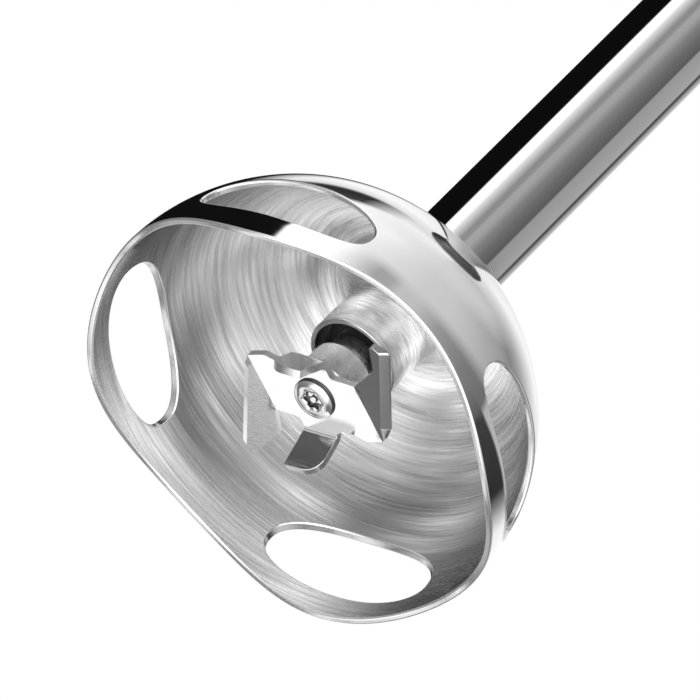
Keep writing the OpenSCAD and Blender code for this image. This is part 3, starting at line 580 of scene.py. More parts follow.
def lathe_into(build, profile, segments=128, closed=True):
    """Turns a profile of (radius, height) round the Z axis."""
    rings = []
    for r, z in profile:
        if r < 1e-6:
            rings.append([build.verts.new((0, 0, z))])
        else:
            rings.append([build.verts.new((r * c, r * s, z)) for c, s in circle(segments)])
    pairs = list(zip(rings, rings[1:])) + ([(rings[-1], rings[0])] if closed else [])
    for a, b in pairs:
        if len(a) == 1 and len(b) == 1:
            continue
        for k in range(segments):
            n = (k + 1) % segments
            if len(a) == 1:
                build.faces.new((a[0], b[n], b[k]))
            elif len(b) == 1:
                build.faces.new((a[k], a[n], b[0]))
            else:
                build.faces.new((a[k], a[n], b[n], b[k]))


def lathe(name, body, nodes, material, corners, segments=128, closed=True):
    """A turned piece from a profile of rounded corners."""
    build = bmesh.new()
    lathe_into(build, rounded(corners, closed), segments, closed)
    return weighted(link_piece(finish_mesh(build, name), name, body, nodes, [material]))


def inside(points, polygon):
    """Which points lie inside a polygon."""
    p, a = np.asarray(points), np.asarray(polygon)
    b = np.roll(a, -1, axis=0)
    x, y = p[:, :1], p[:, 1:2]
    crosses = (a[:, 1] > y) != (b[:, 1] > y)
    with np.errstate(divide="ignore", invalid="ignore"):
        at = (b[:, 0] - a[:, 0]) * (y - a[:, 1]) / (b[:, 1] - a[:, 1]) + a[:, 0]
    return (np.sum(crosses & (x < at), axis=1) % 2) == 1


def fill(patch, surface, border, holes, spacing, slot, side, lines=()):
    """Covers a flat region of (u, v), bounded by a closed border and holes, with small triangles on a surface.
    Lines are pairs of points that no triangle crosses."""
    loops = [border] + holes
    flat = [p for loop in loops for p in loop]
    edges, first = [], 0
    for loop in loops:
        edges += [(first + k, first + (k + 1) % len(loop)) for k in range(len(loop))]
        first += len(loop)
    for a, b in lines:
        edges.append((len(flat), len(flat) + 1))
        flat += [a, b]
    line = np.array(flat)
    (u0, v0), (u1, v1) = line.min(0), line.max(0)
    rows = np.arange(v0, v1, spacing * 0.87)
    grid = np.array([(u, v) for j, v in enumerate(rows)
                     for u in np.arange(u0 + (j % 2) * spacing / 2, u1, spacing)])
    keep = inside(grid, border)
    for hole in holes:
        keep &= ~inside(grid, hole)
    grid = grid[keep]
    near = np.array([np.min(np.hypot(*(line - g).T)) for g in grid]) < spacing * 0.6
    grid = grid[~near]
    points = [Vector(p) for p in flat] + [Vector(p) for p in grid]
    made, _, faces, _, _, _ = delaunay_2d_cdt(points, edges, [], 0, 1e-6)
    middles = np.array([[sum(made[i][c] for i in f) / len(f) for c in (0, 1)] for f in faces])
    keep = inside(middles, border)
    for hole in holes:
        keep &= ~inside(middles, hole)
    placed = [surface(p[0], p[1]) for p in made]
    index = patch.add([p for p, n in placed], [n * side for p, n in placed])
    for face, ok in zip(faces, keep):
        if ok:
            patch.face([index[i] for i in face], slot)


def edge_rows(patch, outer, inner, rows_out, rows_in, edge_normals, fillet, closed, slot, steps=3):
    """The rounded edge between an outer and an inner surface, along a boundary set back by the fillet."""
    strips = []
    for side, surface, row in ((1, outer, rows_out), (-1, inner, rows_in)):
        placed = [surface(u, v) for u, v in row]
        arcs = []
        for k in range(steps + 1):
            a = math.pi / 2 * k / steps
            points, normals = [], []
            for (p, n), e in zip(placed, edge_normals):
                n = n * side
                direction = (n * math.cos(a) + e * math.sin(a)).normalized()
                points.append(p - n * fillet + direction * fillet)
                normals.append(direction)
            arcs.append((points, normals))
        strips.append(arcs)
    ordered = strips[0] + strips[1][::-1]
    indices = [patch.add(points, normals) for points, normals in ordered]
    for a, b in zip(indices, indices[1:]):
        patch.strip(a, b, closed, slot)


# ---- The bell ----

BELL_R = high("bell_guard").x
SKIRT_H = 3.5
DOME_H = 34.6
BELL_WALL = 1.1
SCALLOP_H = 3.4
SCALLOP_POWER = 1.09
LOBES = 4
WINDOW_HALF_W = 14.2
WINDOW_MID_Z = 8.8
WINDOW_RISE, WINDOW_RISE_POWER = 6.8, 2.2
WINDOW_DROP, WINDOW_DROP_POWER = 4.2, 2.6
EDGE_R = 0.32
TUBE_R = high("shaft_tube").x
TUBE_WALL = 0.9
WELD_R = 1.2
HUB_R = 7.25
SEAL_DEPTH = 1.6
HUB_Z0 = low("shaft_seal").z - SEAL_DEPTH
HUB_GAP = 2.1
HUB_BORE_R = high("shaft_seal").x
FLARE_R = 6.5


def dome_surface(inset):
    """The bell's surface, u millimetres round the rim and v up the wall, moved in by an inset."""
    a, b = BELL_R - inset, DOME_H - inset

    def surface(u, v):
        phi, t = u / BELL_R, max(0.0, (v - SKIRT_H) / DOME_H)
        r, z = a * math.cos(t), (SKIRT_H + b * math.sin(t)) if v > SKIRT_H else v
        normal = Vector((b * math.cos(t), a * math.sin(t))).normalized()
        c, s = math.cos(phi), math.sin(phi)
        return Vector((r * c, r * s, z)), Vector((normal.x * c, normal.x * s, normal.y))

    return surface


def on_dome(y, z, inset):
    """Where a line along X at (y, z) meets the dome, as (u, v)."""
    t = math.asin(max(0.0, z - SKIRT_H) / (DOME_H - inset))
    r = (BELL_R - inset) * math.cos(t)
    return BELL_R * math.asin(y / r), (SKIRT_H + DOME_H * t if z > SKIRT_H else z)


def rim_height(u):
    """Height of the scalloped rim."""
    wave = ((1 + math.cos(LOBES * u / BELL_R)) / 2) ** SCALLOP_POWER
    return SCALLOP_H * (1 - wave)


def window_outline(steps):
    """A window's outline in the Y-Z plane."""
    points = []
    for side, height, power in ((1, WINDOW_RISE, WINDOW_RISE_POWER), (-1, WINDOW_DROP, WINDOW_DROP_POWER)):
        half = []
        for k in range(steps):
            a = -math.pi / 2 + math.pi * k / steps
            half.append((WINDOW_HALF_W * math.copysign(abs(math.sin(a)) ** (2 / power), math.sin(a)) * side,
                         WINDOW_MID_Z + side * height * abs(math.cos(a)) ** (2 / power)))
        points += half
    return points


def spread_evenly(points, count):
    """A closed outline with its points evenly spaced."""
    p = np.array(points + points[:1])
    lengths = np.concatenate([[0], np.cumsum(np.hypot(*np.diff(p, axis=0).T))])
    at = np.linspace(0, lengths[-1], count, endpoint=False)
    return list(zip(np.interp(at, lengths, p[:, 0]), np.interp(at, lengths, p[:, 1])))


def outward_ways(points):
    """At each point of a closed outline, the direction out of it."""
    area = sum(points[k - 1][0] * points[k][1] - points[k][0] * points[k - 1][1] for k in range(len(points)))
    side = 1 if area > 0 else -1
    ways = []
    for k in range(len(points)):
        before, after = points[k - 1], points[(k + 1) % len(points)]
        along = Vector((after[0] - before[0], after[1] - before[1])).normalized()
        ways.append(Vector((along.y * side, -along.x * side)))
    return ways


def bell_quarter():
    """A quarter of the bell, round the window on +X, from the rim to where its walls meet the hub and the tube."""
    patch = Patch()
    outer, inner = dome_surface(0), dome_surface(BELL_WALL)
    half = BELL_R * math.pi / LOBES
    outline = spread_evenly(window_outline(60), 112)
    ways = outward_ways(outline)
    set_back = [(p[0] + w.x * EDGE_R, p[1] + w.y * EDGE_R) for p, w in zip(outline, ways)]
    window_out = [on_dome(y, z, 0) for y, z in set_back]
    window_in = [on_dome(y, z, BELL_WALL) for y, z in set_back]
    into_window = [Vector((0, -w.x, -w.y)) for w in ways]
    rim_u = [half * (2 * k / 56 - 1) for k in range(57)]
    rim_row = [(u, rim_height(u) + EDGE_R) for u in rim_u]
    down = []
    for u in rim_u:
        slope = (rim_height(u + 0.01) - rim_height(u - 0.01)) / 0.02
        phi = u / BELL_R
        down.append(Vector((-math.sin(phi) * slope, math.cos(phi) * slope, -1)).normalized())
    for surface, window, top, side, slot in (
            (outer, window_out, OUTER_TOP_V, 1, 0), (inner, window_in, INNER_TOP_V, -1, 1)):
        rise = top - rim_row[0][1]
        count = 30
        right = [(half, rim_row[-1][1] + rise * k / count) for k in range(1, count)]
        top_row = [(half * (1 - 2 * k / 56), top) for k in range(57)]
        left = [(-half, rim_row[0][1] + rise * (count - k) / count) for k in range(1, count)]
        fill(patch, surface, rim_row + right + top_row + left, [window], 1.15, slot, side)
    edge_rows(patch, outer, inner, window_out, window_in, into_window, EDGE_R, True, 2)
    edge_rows(patch, outer, inner, rim_row, rim_row, down, EDGE_R, False, 2)
    return patch


def dome_v(r, inset):
    """The v at which the dome's radius is r."""
    return SKIRT_H + DOME_H * math.acos(r / (BELL_R - inset))


def flare_start():
    """Radius, height and angle where the hub's flare leaves the dome's inside."""
    a, b = BELL_R - BELL_WALL, DOME_H - BELL_WALL
    r = HUB_R + FLARE_R
    for _ in range(30):
        t = math.acos(r / a)
        n = Vector((b * math.cos(t), a * math.sin(t))).normalized()
        r = HUB_R + FLARE_R * (1 + n.x)
    return r, SKIRT_H + b * math.sin(t), math.degrees(math.asin(n.x))


WELD_ANGLE = 75
WELD_FOOT_R = TUBE_R + WELD_R * (1 - math.cos(math.radians(WELD_ANGLE)))
OUTER_TOP_V = dome_v(WELD_FOOT_R, 0)
FLARE_FOOT_R, FLARE_FOOT_Z, FLARE_OVER = flare_start()
INNER_TOP_V = dome_v(FLARE_FOOT_R, BELL_WALL)


def turned_rows(patch, profile, segments, slot):
    """Rows round the axis through (radius, height, normal radius, normal height) points."""
    rows = []
    for r, z, nr, nz in profile:
        ring = circle(segments)
        rows.append(patch.add([(r * c, r * s, z) for c, s in ring], [(nr * c, nr * s, nz) for c, s in ring]))
    for a, b in zip(rows, rows[1:]):
        patch.strip(a, b, True, slot)


def make_bell(polished, turned, ground):
    """Bell with its windows, scalloped rim, hub, flare and weld to the tube."""
    patch = bell_quarter().turned(LOBES)
    segments = 56 * LOBES
    foot_z = dome_surface(0)(0, OUTER_TOP_V)[0].z
    weld_z = foot_z + WELD_R * math.sin(math.radians(WELD_ANGLE))
    weld = []
    for k in range(7):
        a = math.radians(WELD_ANGLE * (1 - k / 6))
        c, s = math.cos(a), math.sin(a)
        weld.append((TUBE_R + WELD_R * (1 - c), weld_z - WELD_R * s, c, s))
    turned_rows(patch, weld, segments, 0)
    centre = (HUB_R + FLARE_R, FLARE_FOOT_Z - FLARE_R * math.cos(math.radians(FLARE_OVER)))
    hub = []
    for k in range(17):
        a = math.radians((90 + FLARE_OVER) * (1 - k / 16))
        c, s = math.cos(a), math.sin(a)
        hub.append((centre[0] - FLARE_R * c, centre[1] + FLARE_R * s, c, -s))
    lip = 0.22
    round_lip = [(math.cos(math.radians(90 * k / 4)), math.sin(math.radians(90 * k / 4))) for k in range(5)]
    hub += [(HUB_R - lip + lip * c, HUB_Z0 + lip - lip * s, c, -s) for c, s in round_lip]
    hub += [(HUB_BORE_R + lip - lip * s, HUB_Z0 + lip - lip * c, -s, -c) for c, s in round_lip]
    hub.append((HUB_BORE_R, high("shaft_seal").z, -1, 0))
    turned_rows(patch, hub, segments, 1)
    return link_piece(patch.mesh("bell"), "bell", "foot", ["bell_guard"], [polished, turned, ground])


def make_tube(polished):
    """The plain steel tube."""
    z0, z1, bore = low("shaft_tube").z, high("shaft_tube").z, TUBE_R - TUBE_WALL
    return lathe("tube", "foot", ["shaft_tube"], polished,
                 [(TUBE_R, z0, 0.2), (TUBE_R, z1, 0.2), (bore, z1, 0.2), (bore, z0, 0.2)], 192)


# ---- The blade ----

SCREW_LEN = 10
BLADE_Z = high("blade_screw").z - SCREW_LEN
BLADE_T = 1.2
FOLD_Y = 6.1
FOLD_START = FOLD_Y - 0.3
WING_HALF_W = 2.9
WING_LEN = 7.3
WING_BEND = 69
WING_CORNER_R = 3
GRIND_W, GRIND_H = 1.1, 0.85
LONG_WING_TILT = 5
# One side of the blade's blank: x, y, corner radius, and whether the edge that starts here is ground
BLANK = [
    (WING_HALF_W, FOLD_Y + WING_LEN, WING_CORNER_R, 0), (-WING_HALF_W, FOLD_Y + WING_LEN, 0.3, 0),
    (-WING_HALF_W, FOLD_START, 0.3, 0), (-3.4, 4.4, 0.4, 0), (-7.7, 4.3, 0.5, 0), (-9.9, 8.7, 2, 0),
    (-12.2, 13.3, 0.6, 0), (-14.9, 12.3, 0.5, 1), (-12.4, -2.3, 2, 0), (-11.2, -4.6, 1.0, 0), (-8.2, -5.5, 0.8, 0),
    (-6.0, -4.9, 0.6, 0), (-4.0, -4.9, 0.5, 0), (-WING_HALF_W, -FOLD_START, 0.3, 0)]
BEND_LEN = 1.5
BEND_STEPS = 8
TILT_A, TILT_B = Vector((-11.0, -4.3)), Vector((-7.6, 4.2))
LEAD_A, LEAD_B = Vector((-14.9, 12.3)), Vector((-12.4, -2.3))


def side_of(a, b, p):
    """How far a point lies to the left of the line from a to b."""
    along = (b - a).normalized()
    return along.x * (p[1] - a.y) - along.y * (p[0] - a.x)


def split_at(outline, a, b, reach):
    """An outline with a point added wherever it crosses a line, within reach of the axis along X."""
    out = []
    for k, p in enumerate(outline):
        n = outline[(k + 1) % len(outline)]
        out.append(p)
        here, there = side_of(a, b, p), side_of(a, b, n)
        if here * there < 0:
            t = here / (here - there)
            q = (p[0] + (n[0] - p[0]) * t, p[1] + (n[1] - p[1]) * t)
            if reach[0] <= q[0] <= reach[1] and 0.02 < t < 0.98:
                out.append(q)
    return out


def formed(x, y, z):
    """Where a point of the blade's flat blank ends up once the wings are folded."""
    for s in (1, -1):
        a, b = TILT_A * s, TILT_B * s
        if x * s < -4 and side_of(a, b, (x, y)) > 0:
            axis = Vector((b.x - a.x, b.y - a.y, 0))
            turned = Matrix.Rotation(math.radians(-LONG_WING_TILT), 3, axis) @ Vector((x - a.x, y - a.y, z))
            return Vector((a.x, a.y, BLADE_Z)) + turned
    s, run = (1 if y > 0 else -1), abs(y) - FOLD_START
    if run <= 0 or abs(x) > WING_HALF_W + 0.4:
        return Vector((x, y, BLADE_Z + z))
    full = math.radians(WING_BEND)
    turn, rest, radius = min(run / BEND_LEN, 1.0) * full, max(0.0, run - BEND_LEN), BEND_LEN / full
    r = radius - BLADE_T / 2 + z
    return Vector((x, s * (FOLD_START + r * math.sin(turn) + rest * math.cos(turn)),
                   BLADE_Z + BLADE_T / 2 - radius + r * math.cos(turn) - rest * math.sin(turn)))


def make_blade(steel, ground_steel):
    """Blade pressed from sheet: ground leading edges, two tilted long wings and two short wings folded down."""
    corners = BLANK + [(-x, -y, r, g) for x, y, r, g in BLANK]
    full = rounded([(x, y, r) for x, y, r, g in corners], steps=6)
    lines = []
    for s in (1, -1):
        full = split_at(full, TILT_A * s, TILT_B * s, (-15, -5) if s > 0 else (5, 15))
        for k in range(BEND_STEPS + 1):
            y = s * (FOLD_START + BEND_LEN * k / BEND_STEPS)
            full = split_at(full, Vector((-9, y)), Vector((9, y)), (-WING_HALF_W - 0.4, WING_HALF_W + 0.4))
            lines.append(((-WING_HALF_W + 0.25, y), (WING_HALF_W - 0.25, y)))
        a, b = TILT_A * s, TILT_B * s
        lines.append((tuple(a + (b - a) * 0.06), tuple(a + (b - a) * 0.94)))
    levels = []
    for z, inset in ((0, 0.05), (0.05, 0), (GRIND_H, 0), (BLADE_T - 0.05, 0), (BLADE_T, 0.05)):
        row = []
        for p, way in zip(full, outward_ways(full)):
            move = -way * inset
            if z < GRIND_H:
                for s in (1, -1):
                    along = LEAD_B * s - LEAD_A * s
                    t = (Vector(p) - LEAD_A * s).dot(along) / along.length_squared
                    if -0.1 <= t <= 1.1 and abs(side_of(LEAD_A * s, LEAD_B * s, p)) < 0.7:
                        fade = min(1.0, (t + 0.1) / 0.1, (1.1 - t) / 0.1)
                        inwards = Vector((-along.y, along.x)).normalized()
                        move += inwards * GRIND_W * fade * (1 - 0.06 * z / GRIND_H)
            row.append((p[0] + move.x, p[1] + move.y))
        levels.append((z, row))
    patch = Patch()
    for z, row, side in ((0, levels[0][1], -1), (BLADE_T, levels[-1][1], 1)):
        fill(patch, lambda u, v: (formed(u, v, z), Vector((0, 0, 1))), row, [], 0.9, 0, side, lines)
    rings = [patch.add([formed(x, y, z) for x, y in row], [(0, 0, 1)] * len(row)) for z, row in levels]
    for k, (a, b) in enumerate(zip(rings, rings[1:])):
        patch.strip(a, b, True, 1)
    build = bmesh.new()
    verts = [build.verts.new(p) for p in patch.points]
    for face, slot in zip(patch.faces, patch.slots):
        if len({patch.points[i] for i in face}) > 2:
            build.faces.new([verts[i] for i in face]).material_index = slot
    mesh = finish_mesh(build, "blade_plate")
    mesh.set_sharp_from_angle(angle=math.radians(18))
    return link_piece(mesh, "blade_plate", "blade_rotor", ["blade"], [steel, ground_steel])


def make_boss(metal_satin):
    """The chamfered boss behind the blade and its neck."""
    z0, z1, r = low("blade_boss").z, high("blade_boss").z, high("blade_boss").x
    top, neck_r, chamfer = HUB_Z0 - HUB_GAP, 4.1, 0.9
    return lathe("boss", "blade_rotor", ["blade_boss"], metal_satin, [
        (0, z0, 0), (r - chamfer, z0, 0.1), (r, z0 + chamfer, 0.12), (r, top - 0.5, 0.15), (r - 0.5, top, 0.12),
        (neck_r, top, 0.1), (neck_r, z1, 0.1), (0, z1, 0)], 96, False)


def make_screw(steel, painted_shade_steel):
    """The blade's screw: a low head with a rounded rim and a six-lobed recess."""
    z0, head_r = low("blade_screw").z, high("blade_screw").x
    lobes, recess_r, recess_depth = 6, 1.4, 1.5
    segments = 96
    build = bmesh.new()

    def ring(radius, z, lobed=0.0):
        out = []
        for k in range(segments):
            a = TAU * k / segments
            r = radius * (1 + lobed * math.cos(lobes * a))
            out.append(build.verts.new((r * math.cos(a), r * math.sin(a), z)))
        return out

    rows = [ring(head_r, BLADE_Z + 0.02), ring(head_r, z0 + 0.5), ring(head_r - 0.1, z0 + 0.36),
            ring(head_r - 0.75, z0 + 0.06), ring(head_r - 0.9, z0), ring(recess_r + 0.35, z0 + 0.02),
            ring(recess_r + 0.12, z0 + 0.08, 0.10), ring(recess_r, z0 + 0.2, 0.14),
            ring(recess_r - 0.06, z0 + recess_depth, 0.14), ring(0.62, z0 + recess_depth),
            ring(0.58, z0 + 0.45), ring(0.45, z0 + 0.3)]
    # The head's side and the recess's walls and floor take a near-black steel: painted shade.
    dark = 7
    for j, (a, b) in enumerate(zip(rows, rows[1:])):
        for k in range(segments):
            n = (k + 1) % segments
            build.faces.new((a[k], a[n], b[n], b[k])).material_index = 1 if j in (0, 1, dark, dark + 1) else 0
    build.faces.new(rows[-1])
    mesh = finish_mesh(build, "blade_screw_head")
    mesh.set_sharp_from_angle(angle=math.radians(40))
    return link_piece(mesh, "blade_screw_head", "blade_rotor", ["blade_screw"], [steel, painted_shade_steel])


# ---- The motor unit ----

BELLY_R, BELLY_UP, NOSE_R, TOP_R = 29.5, 104, 23, 26.5
NOSE_Z0, CAP_Z1 = low("nose_housing").z, high("top_cap").z
SHELL_OVER_GASKET = 18.4
SHELL_Z0, SHELL_Z1 = high("nose_gasket").z + SHELL_OVER_GASKET, high("front_shell").z
SHELL_WALL, PAD_T = 2.4, 1.2
SEAM_R = 0.22
PANEL_HALF = math.radians(27)
GRIP_HALF = math.radians(62)
BUTTON_GAP = 0.35
TUNNEL_WALL = 0.8
TUNNEL_Y = 13.2
SCREW_HEAD_R = 2.8
SCREW_BORE_R = 3.0
DIAL_BORE_R = 20.2
CAP_GAP = 0.4


def skin_r(z):
    """Radius of the motor unit's skin at a height."""
    belly = NOSE_Z0 + BELLY_UP
    if z < belly:
        return NOSE_R + (BELLY_R - NOSE_R) * math.sin(math.pi / 2 * (z - NOSE_Z0) / BELLY_UP)
    return TOP_R + (BELLY_R - TOP_R) * math.cos(math.pi / 2 * (z - belly) / (CAP_Z1 - belly))


def skin_surface(inset, ribs=None):
    """The motor unit's skin, u millimetres round the belly and v up, moved in by an inset and by any ribs."""
    def surface(u, v):
        phi = u / BELLY_R
        r = skin_r(v) - inset
        slope = (skin_r(v + 0.01) - skin_r(v - 0.01)) / 0.02
        if ribs:
            r -= ribs(u, v)
            slope -= (ribs(u, v + 0.01) - ribs(u, v - 0.01)) / 0.02
        c, s = math.cos(phi), math.sin(phi)
        return Vector((r * c, r * s, v)), Vector((c, s, -slope)).normalized()

    return surface


def dense(points, step):
    """A closed outline with its long edges divided."""
    out = []
    for k, p in enumerate(points):
        n = points[(k + 1) % len(points)]
        count = max(1, math.ceil(math.hypot(n[0] - p[0], n[1] - p[1]) / step))
        out += [(p[0] + (n[0] - p[0]) * i / count, p[1] + (n[1] - p[1]) * i / count) for i in range(count)]
    return out


def frame_outline(u0, u1, v0, v1, radius):
    """A rectangle with rounded corners on the skin."""
    return dense(rounded([(u0, v0, radius), (u1, v0, radius), (u1, v1, radius), (u0, v1, radius)], steps=6), 2.0)


def bore_outline(x, z, radius, front, count=48):
    """Where a round bore along Y at (x, z) meets the skin."""
    out = []
    for c, s in circle(count):
        px, pz = x + radius * c, z + radius * s
        phi = math.acos(px / skin_r(pz))
        out.append(((TAU - phi if front else phi) * BELLY_R, pz))
    return out


def add_tunnel(patch, x, z, radius, cover, count=48):
    """Adds the moulded tube round a screw's bore along Y, from under its head to inside the skin's sheet."""
    rows = []
    for r, at_skin, side in [(radius, False, -1), (radius, True, -1), (radius + TUNNEL_WALL, True, 1),
                             (radius + TUNNEL_WALL, False, 1)]:
        points, normals = [], []
        for c, s in circle(count):
            px, pz = x + r * c, z + r * s
            points.append((px, math.sqrt((skin_r(pz) - cover) ** 2 - px ** 2) if at_skin else TUNNEL_Y, pz))
            normals.append((side * c, 0.3 if at_skin else -0.3, side * s))
        rows.append(patch.add(points, normals))
    for k in range(4):
        patch.strip(rows[k], rows[(k + 1) % 4], True)


def shell_sheet(name, nodes, material, border, holes, thickness, spacing=2.4, ribs=None, tunnels=()):
    """A moulded sheet of the motor unit's skin with rounded edges. Tunnels are (x, z, radius, cover) tuples."""
    patch = Patch()
    for tunnel in tunnels:
        add_tunnel(patch, *tunnel)
    outer, inner = skin_surface(0, ribs), skin_surface(thickness)
    moved = []
    for loop, sign in [(border, 1)] + [(hole, -1) for hole in holes]:
        ways = [w * sign for w in outward_ways(loop)]
        row = [(p[0] - w.x * SEAM_R, p[1] - w.y * SEAM_R) for p, w in zip(loop, ways)]
        moved.append(row)
        edges = [Vector((-math.sin(p[0] / BELLY_R) * w.x, math.cos(p[0] / BELLY_R) * w.x, w.y))
                 for p, w in zip(loop, ways)]
        edge_rows(patch, outer, inner, row, row, edges, SEAM_R, True, 0)
    fill(patch, outer, moved[0], moved[1:], spacing, 0, 1)
    fill(patch, inner, moved[0], moved[1:], 4.0, 0, -1)
    return link_piece(patch.mesh(name), name, "motor_unit", nodes, [material])


def make_shells(shell, panel_gloss, grip_rubber):
    """The two housing shells, the control panel and the soft grip."""
    half = math.pi * BELLY_R
    seam = 0.04
    panel_z0, panel_z1 = low("control_panel").z, high("control_panel").z
    grip_z0, grip_z1 = low("soft_grip").z, high("soft_grip").z
    middle_front, middle_back = 1.5 * half, 0.5 * half
    panel_w, grip_w = PANEL_HALF * BELLY_R, GRIP_HALF * BELLY_R
    holes = []
    for lowest, highest in (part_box("power_button"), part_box("turbo_button")):
        z, r = (lowest.z + highest.z) / 2 / MM, (highest.z - lowest.z) / 2 / MM
        holes.append(bore_outline(0, z, r + BUTTON_GAP - SEAM_R, True))
    panel = frame_outline(middle_front - panel_w, middle_front + panel_w, panel_z0, panel_z1, 3)
    shell_sheet("front_housing", ["front_shell"], shell,
                frame_outline(half + seam, 2 * half - seam, SHELL_Z0, SHELL_Z1, 0.3), [panel], SHELL_WALL)
    shell_sheet("panel", ["control_panel"], panel_gloss,
                frame_outline(middle_front - panel_w + seam, middle_front + panel_w - seam,
                              panel_z0 + seam, panel_z1 - seam, 3 - seam), holes, PAD_T, 1.8)
    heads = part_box("housing_screws")
    screw_x = (heads[1].x - heads[0].x) / 2 / MM - SCREW_HEAD_R
    screw_zs = (low("housing_screws").z + SCREW_HEAD_R, high("housing_screws").z - SCREW_HEAD_R)
    slots = []
    for k in range(-3, 4):
        u = middle_back + math.radians(9 * k) * BELLY_R
        slots.append(frame_outline(u - 1.05, u + 1.05, SHELL_Z0 + 6.5, SHELL_Z0 + 10.5, 0.9))
    grip = frame_outline(middle_back - grip_w, middle_back + grip_w, grip_z0, grip_z1, 7)
    bores = [[bore_outline(x, z, SCREW_BORE_R, False) for x in (-screw_x, screw_x)] for z in screw_zs]
    shell_sheet("rear_housing", ["rear_shell"], shell,
                frame_outline(seam, half - seam, SHELL_Z0, SHELL_Z1, 0.3), [grip] + slots + bores[1], SHELL_WALL,
                tunnels=[(x, z, SCREW_BORE_R, cover) for x in (-screw_x, screw_x)
                         for z, cover in zip(screw_zs, (PAD_T - 0.3, SHELL_WALL / 2))])
    count = int((grip_z1 - grip_z0 - 24) / 7)

    def ribs(u, v):
        k = round((v - grip_z0 - 12) / 7)
        if not 0 <= k <= count:
            return 0.0
        across = abs(v - grip_z0 - 12 - 7 * k) / 1.0
        along = max(0.0, abs(u - middle_back) - (grip_w / 2 - 1.5)) / 1.5
        return 0.35 * max(0.0, 1 - across ** 2) * max(0.0, 1 - along ** 2)

    shell_sheet("grip", ["soft_grip"], grip_rubber,
                frame_outline(middle_back - grip_w + seam, middle_back + grip_w - seam, grip_z0 + seam,
                              grip_z1 - seam, 7 - seam), bores[0], PAD_T, 0.62, ribs)


def make_buttons(metal_face):
    """The two dished finger buttons."""
    for node in ("power_button", "turbo_button"):
        lowest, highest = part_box(node)
        r, z = (highest.z - lowest.z) / 2 / MM, (highest.z + lowest.z) / 2 / MM
        length, back = (highest.y - lowest.y) / MM, highest.y / MM
        build = bmesh.new()
        face = [(r - 1.5, length - 0.12), (r * 0.66, length - 0.45), (r * 0.33, length - 0.65)]
        profile = rounded([(0, 0, 0), (r, 0, 0.2), (r, length, 0.9)] + [(x, y, 0) for x, y in face]
                          + [(0, length - 0.7, 0)], False, 8)
        lathe_into(build, profile, 128, False)
        bmesh.ops.transform(build, matrix=Matrix.Translation((0, back, z)) @ Matrix.Rotation(math.pi / 2, 4, "X"),
                            verts=build.verts)
        weighted(link_piece(finish_mesh(build, node + "_face"), node + "_face", node, [node],
                            [metal_face]))


def make_dial(soft_plastic):
    """The speed dial with its finger grooves."""
    z0, z1 = low("speed_dial").z, high("speed_dial").z
    outer, bore = skin_r((z0 + z1) / 2), DIAL_BORE_R
    grooves, per = 36, 12
    rows = [(bore, z0 + 0.2, 0), (bore + 0.2, z0, 0), (outer - 1.1, z0, 0), (outer - 0.7, z0 + 0.08, 0.3),
            (outer - 0.25, z0 + 0.35, 0.8), (outer, z0 + 0.95, 1), (outer, z1 - 0.95, 1),
            (outer - 0.25, z1 - 0.35, 0.8), (outer - 0.7, z1 - 0.08, 0.3), (outer - 1.1, z1, 0),
            (bore + 0.2, z1, 0), (bore, z1 - 0.2, 0)]
    build = bmesh.new()
    rings = []
    for r, z, depth in rows:
        ring = []
        for k in range(grooves * per):
            a = TAU * k / (grooves * per)
            dip = 0.5 * max(0.0, 1 - (min(k % per, per - k % per) / 2.6) ** 2)
            ring.append(build.verts.new(((r - depth * dip) * math.cos(a), (r - depth * dip) * math.sin(a), z)))
        rings.append(ring)
    for a, b in zip(rings, rings[1:] + rings[:1]):
        for k in range(len(a)):
            n = (k + 1) % len(a)
            build.faces.new((a[k], a[n], b[n], b[k]))
    return weighted(link_piece(finish_mesh(build, "dial"), "dial", "speed_dial", ["speed_dial"],
                               [soft_plastic]))


def make_cap_and_gland(cap_plastic, gland_rubber):
    """The cap over the handle and the gland for the cord."""
    top = high("top_cap").z
    cap_z0 = high("speed_dial").z + CAP_GAP
    flange_z0, flange_t, neck_r, gland_r = low("top_cap").z, 3, 20, 5.5
    cap_r, flange_r = skin_r(cap_z0), skin_r(SHELL_Z1) - SHELL_WALL - 0.1
    lathe("cap", "motor_unit", ["top_cap"], cap_plastic, [
        (neck_r - 2.5, flange_z0, 0.2), (flange_r, flange_z0, 0.2), (flange_r, flange_z0 + flange_t, 0.3),
        (neck_r, flange_z0 + flange_t, 0.2), (neck_r, cap_z0, 0.15), (cap_r, cap_z0, 0.5), (cap_r, top, 4.5),
        (gland_r + 1.2, top, 0.6), (gland_r + 0.9, top - 0.5, 0.3), (gland_r, top - 0.5, 0.1),
        (gland_r, top - 3, 0), (neck_r - 2.5, top - 3, 0.3)], 160)
    z0, z1 = low("cord_gland").z, high("cord_gland").z
    bore_r = 3.4
    lathe("gland", "motor_unit", ["cord_gland"], gland_rubber, [
        (bore_r, z0, 0.2), (gland_r + 1.8, z0, 0.2), (gland_r + 1.8, z0 + 3, 0.2), (gland_r - 0.02, z0 + 3, 0),
        (gland_r - 0.02, z1, 1.2), (bore_r, z1, 0.5)], 96)


def paint(material, *nodes):
    """Gives CAD nodes a material in every slot."""
    for node in nodes:
        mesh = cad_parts[node].data
        if not mesh.materials:
            mesh.materials.append(material)
        for k in range(len(mesh.materials)):
            mesh.materials[k] = material


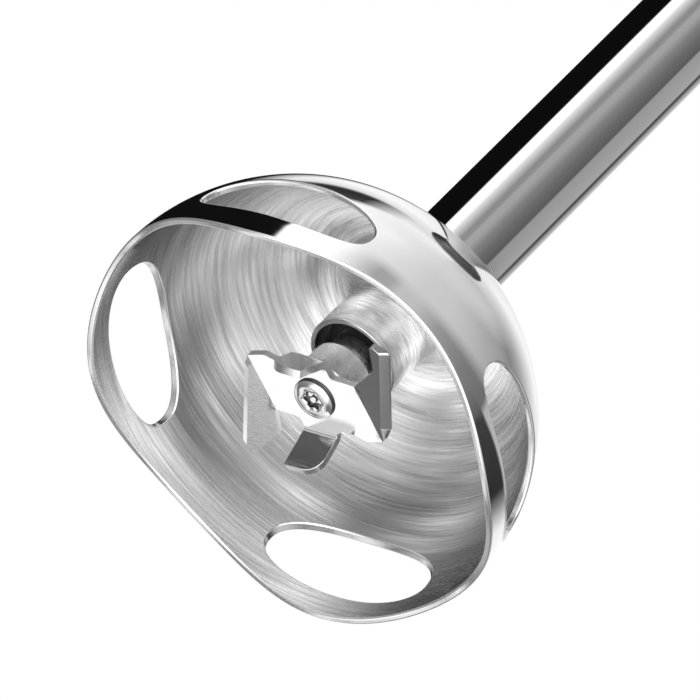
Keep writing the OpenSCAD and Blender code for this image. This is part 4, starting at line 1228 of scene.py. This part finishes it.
def paint_inner_parts():
    """Materials for the CAD nodes that stay in view."""
    dark = plastic("nose_plastic", (0.045, 0.047, 0.05), 0.42)
    paint(dark, "nose_housing", "foot_collar")
    paint(rubber("black_rubber", (0.018, 0.018, 0.018)), "nose_gasket", "shaft_seal")
    paint(plastic("carrier_plastic", (0.55, 0.55, 0.53), 0.45), "bearing_carrier", "brush_holders")
    paint(plastic("coupling_plastic", (0.12, 0.12, 0.13), 0.4), "driven_coupling", "drive_coupling")
    paint(plastic("release_plastic", (0.30, 0.31, 0.32), 0.38), "release_button_left", "release_button_right")
    paint(plastic("fan_plastic", (0.65, 0.66, 0.64), 0.4), "cooling_fan")
    paint(plastic("board_green", (0.03, 0.16, 0.07), 0.35), "circuit_board")
    paint(plastic("part_black", (0.03, 0.03, 0.03), 0.4), "board_parts", "switches")
    paint(metal("bronze", (0.60, 0.38, 0.18), 0.38), "lower_bush", "upper_bush")
    paint(metal("shaft_steel", (0.62, 0.62, 0.62), 0.22), "drive_shaft", "shaft_circlip", "motor_shaft",
          "housing_screws", "lower_bearing", "upper_bearing")
    paint(metal("spring_steel", (0.55, 0.55, 0.56), 0.3), "power_spring", "turbo_spring",
          "release_spring_left", "release_spring_right")
    paint(metal("bracket_metal", (0.66, 0.66, 0.67), 0.45), "lower_bracket", "upper_bracket")
    paint(metal("lamination", (0.33, 0.33, 0.34), 0.5), "stator_core", "armature_core")
    paint(metal("copper", (0.80, 0.36, 0.18), 0.3), "field_coils", "armature_windings", "commutator")
    paint(plastic("carbon", (0.035, 0.035, 0.037), 0.55), "carbon_brushes")


def main():
    """Builds the view, the studio and every visible piece."""
    make_camera()
    make_floor()
    make_world()
    outside = polished_steel("polished_steel")
    make_bell(outside, turned_steel("turned_steel"), brushed_steel("edge_steel", 0.9, 0.2, (2500, 2500, 2500)))
    # The tube's steel is a darker copy of the bell's polished steel: painted shade for the dimmer light the tube
    # reflects.
    make_tube(polished_steel("tube_steel", 0.6, 0.04))
    make_blade(brushed_steel("blade_steel", 0.9, 0.07), brushed_steel("blade_edge_steel", 0.9, 0.18))
    make_boss(metal("boss_metal", (0.95, 0.95, 0.95), 0.3))
    # The screw's second steel is near-black painted shade for its recess and the side of its head.
    make_screw(brushed_steel("screw_steel", 0.85, 0.14), metal("screw_painted_shade", (0.10, 0.10, 0.10), 0.3))
    make_shells(plastic("shell_plastic", (0.78, 0.78, 0.77), 0.32),
                plastic("panel_plastic", (0.02, 0.02, 0.022), 0.12, coat=0.5),
                rubber("grip_rubber", (0.045, 0.046, 0.05)))
    make_buttons(plastic("button_plastic", (0.42, 0.43, 0.44), 0.3))
    make_dial(plastic("dial_plastic", (0.10, 0.10, 0.105), 0.4))
    make_cap_and_gland(plastic("cap_plastic", (0.045, 0.047, 0.05), 0.38),
                       rubber("gland_rubber", (0.02, 0.02, 0.02)))
    paint_inner_parts()


main()
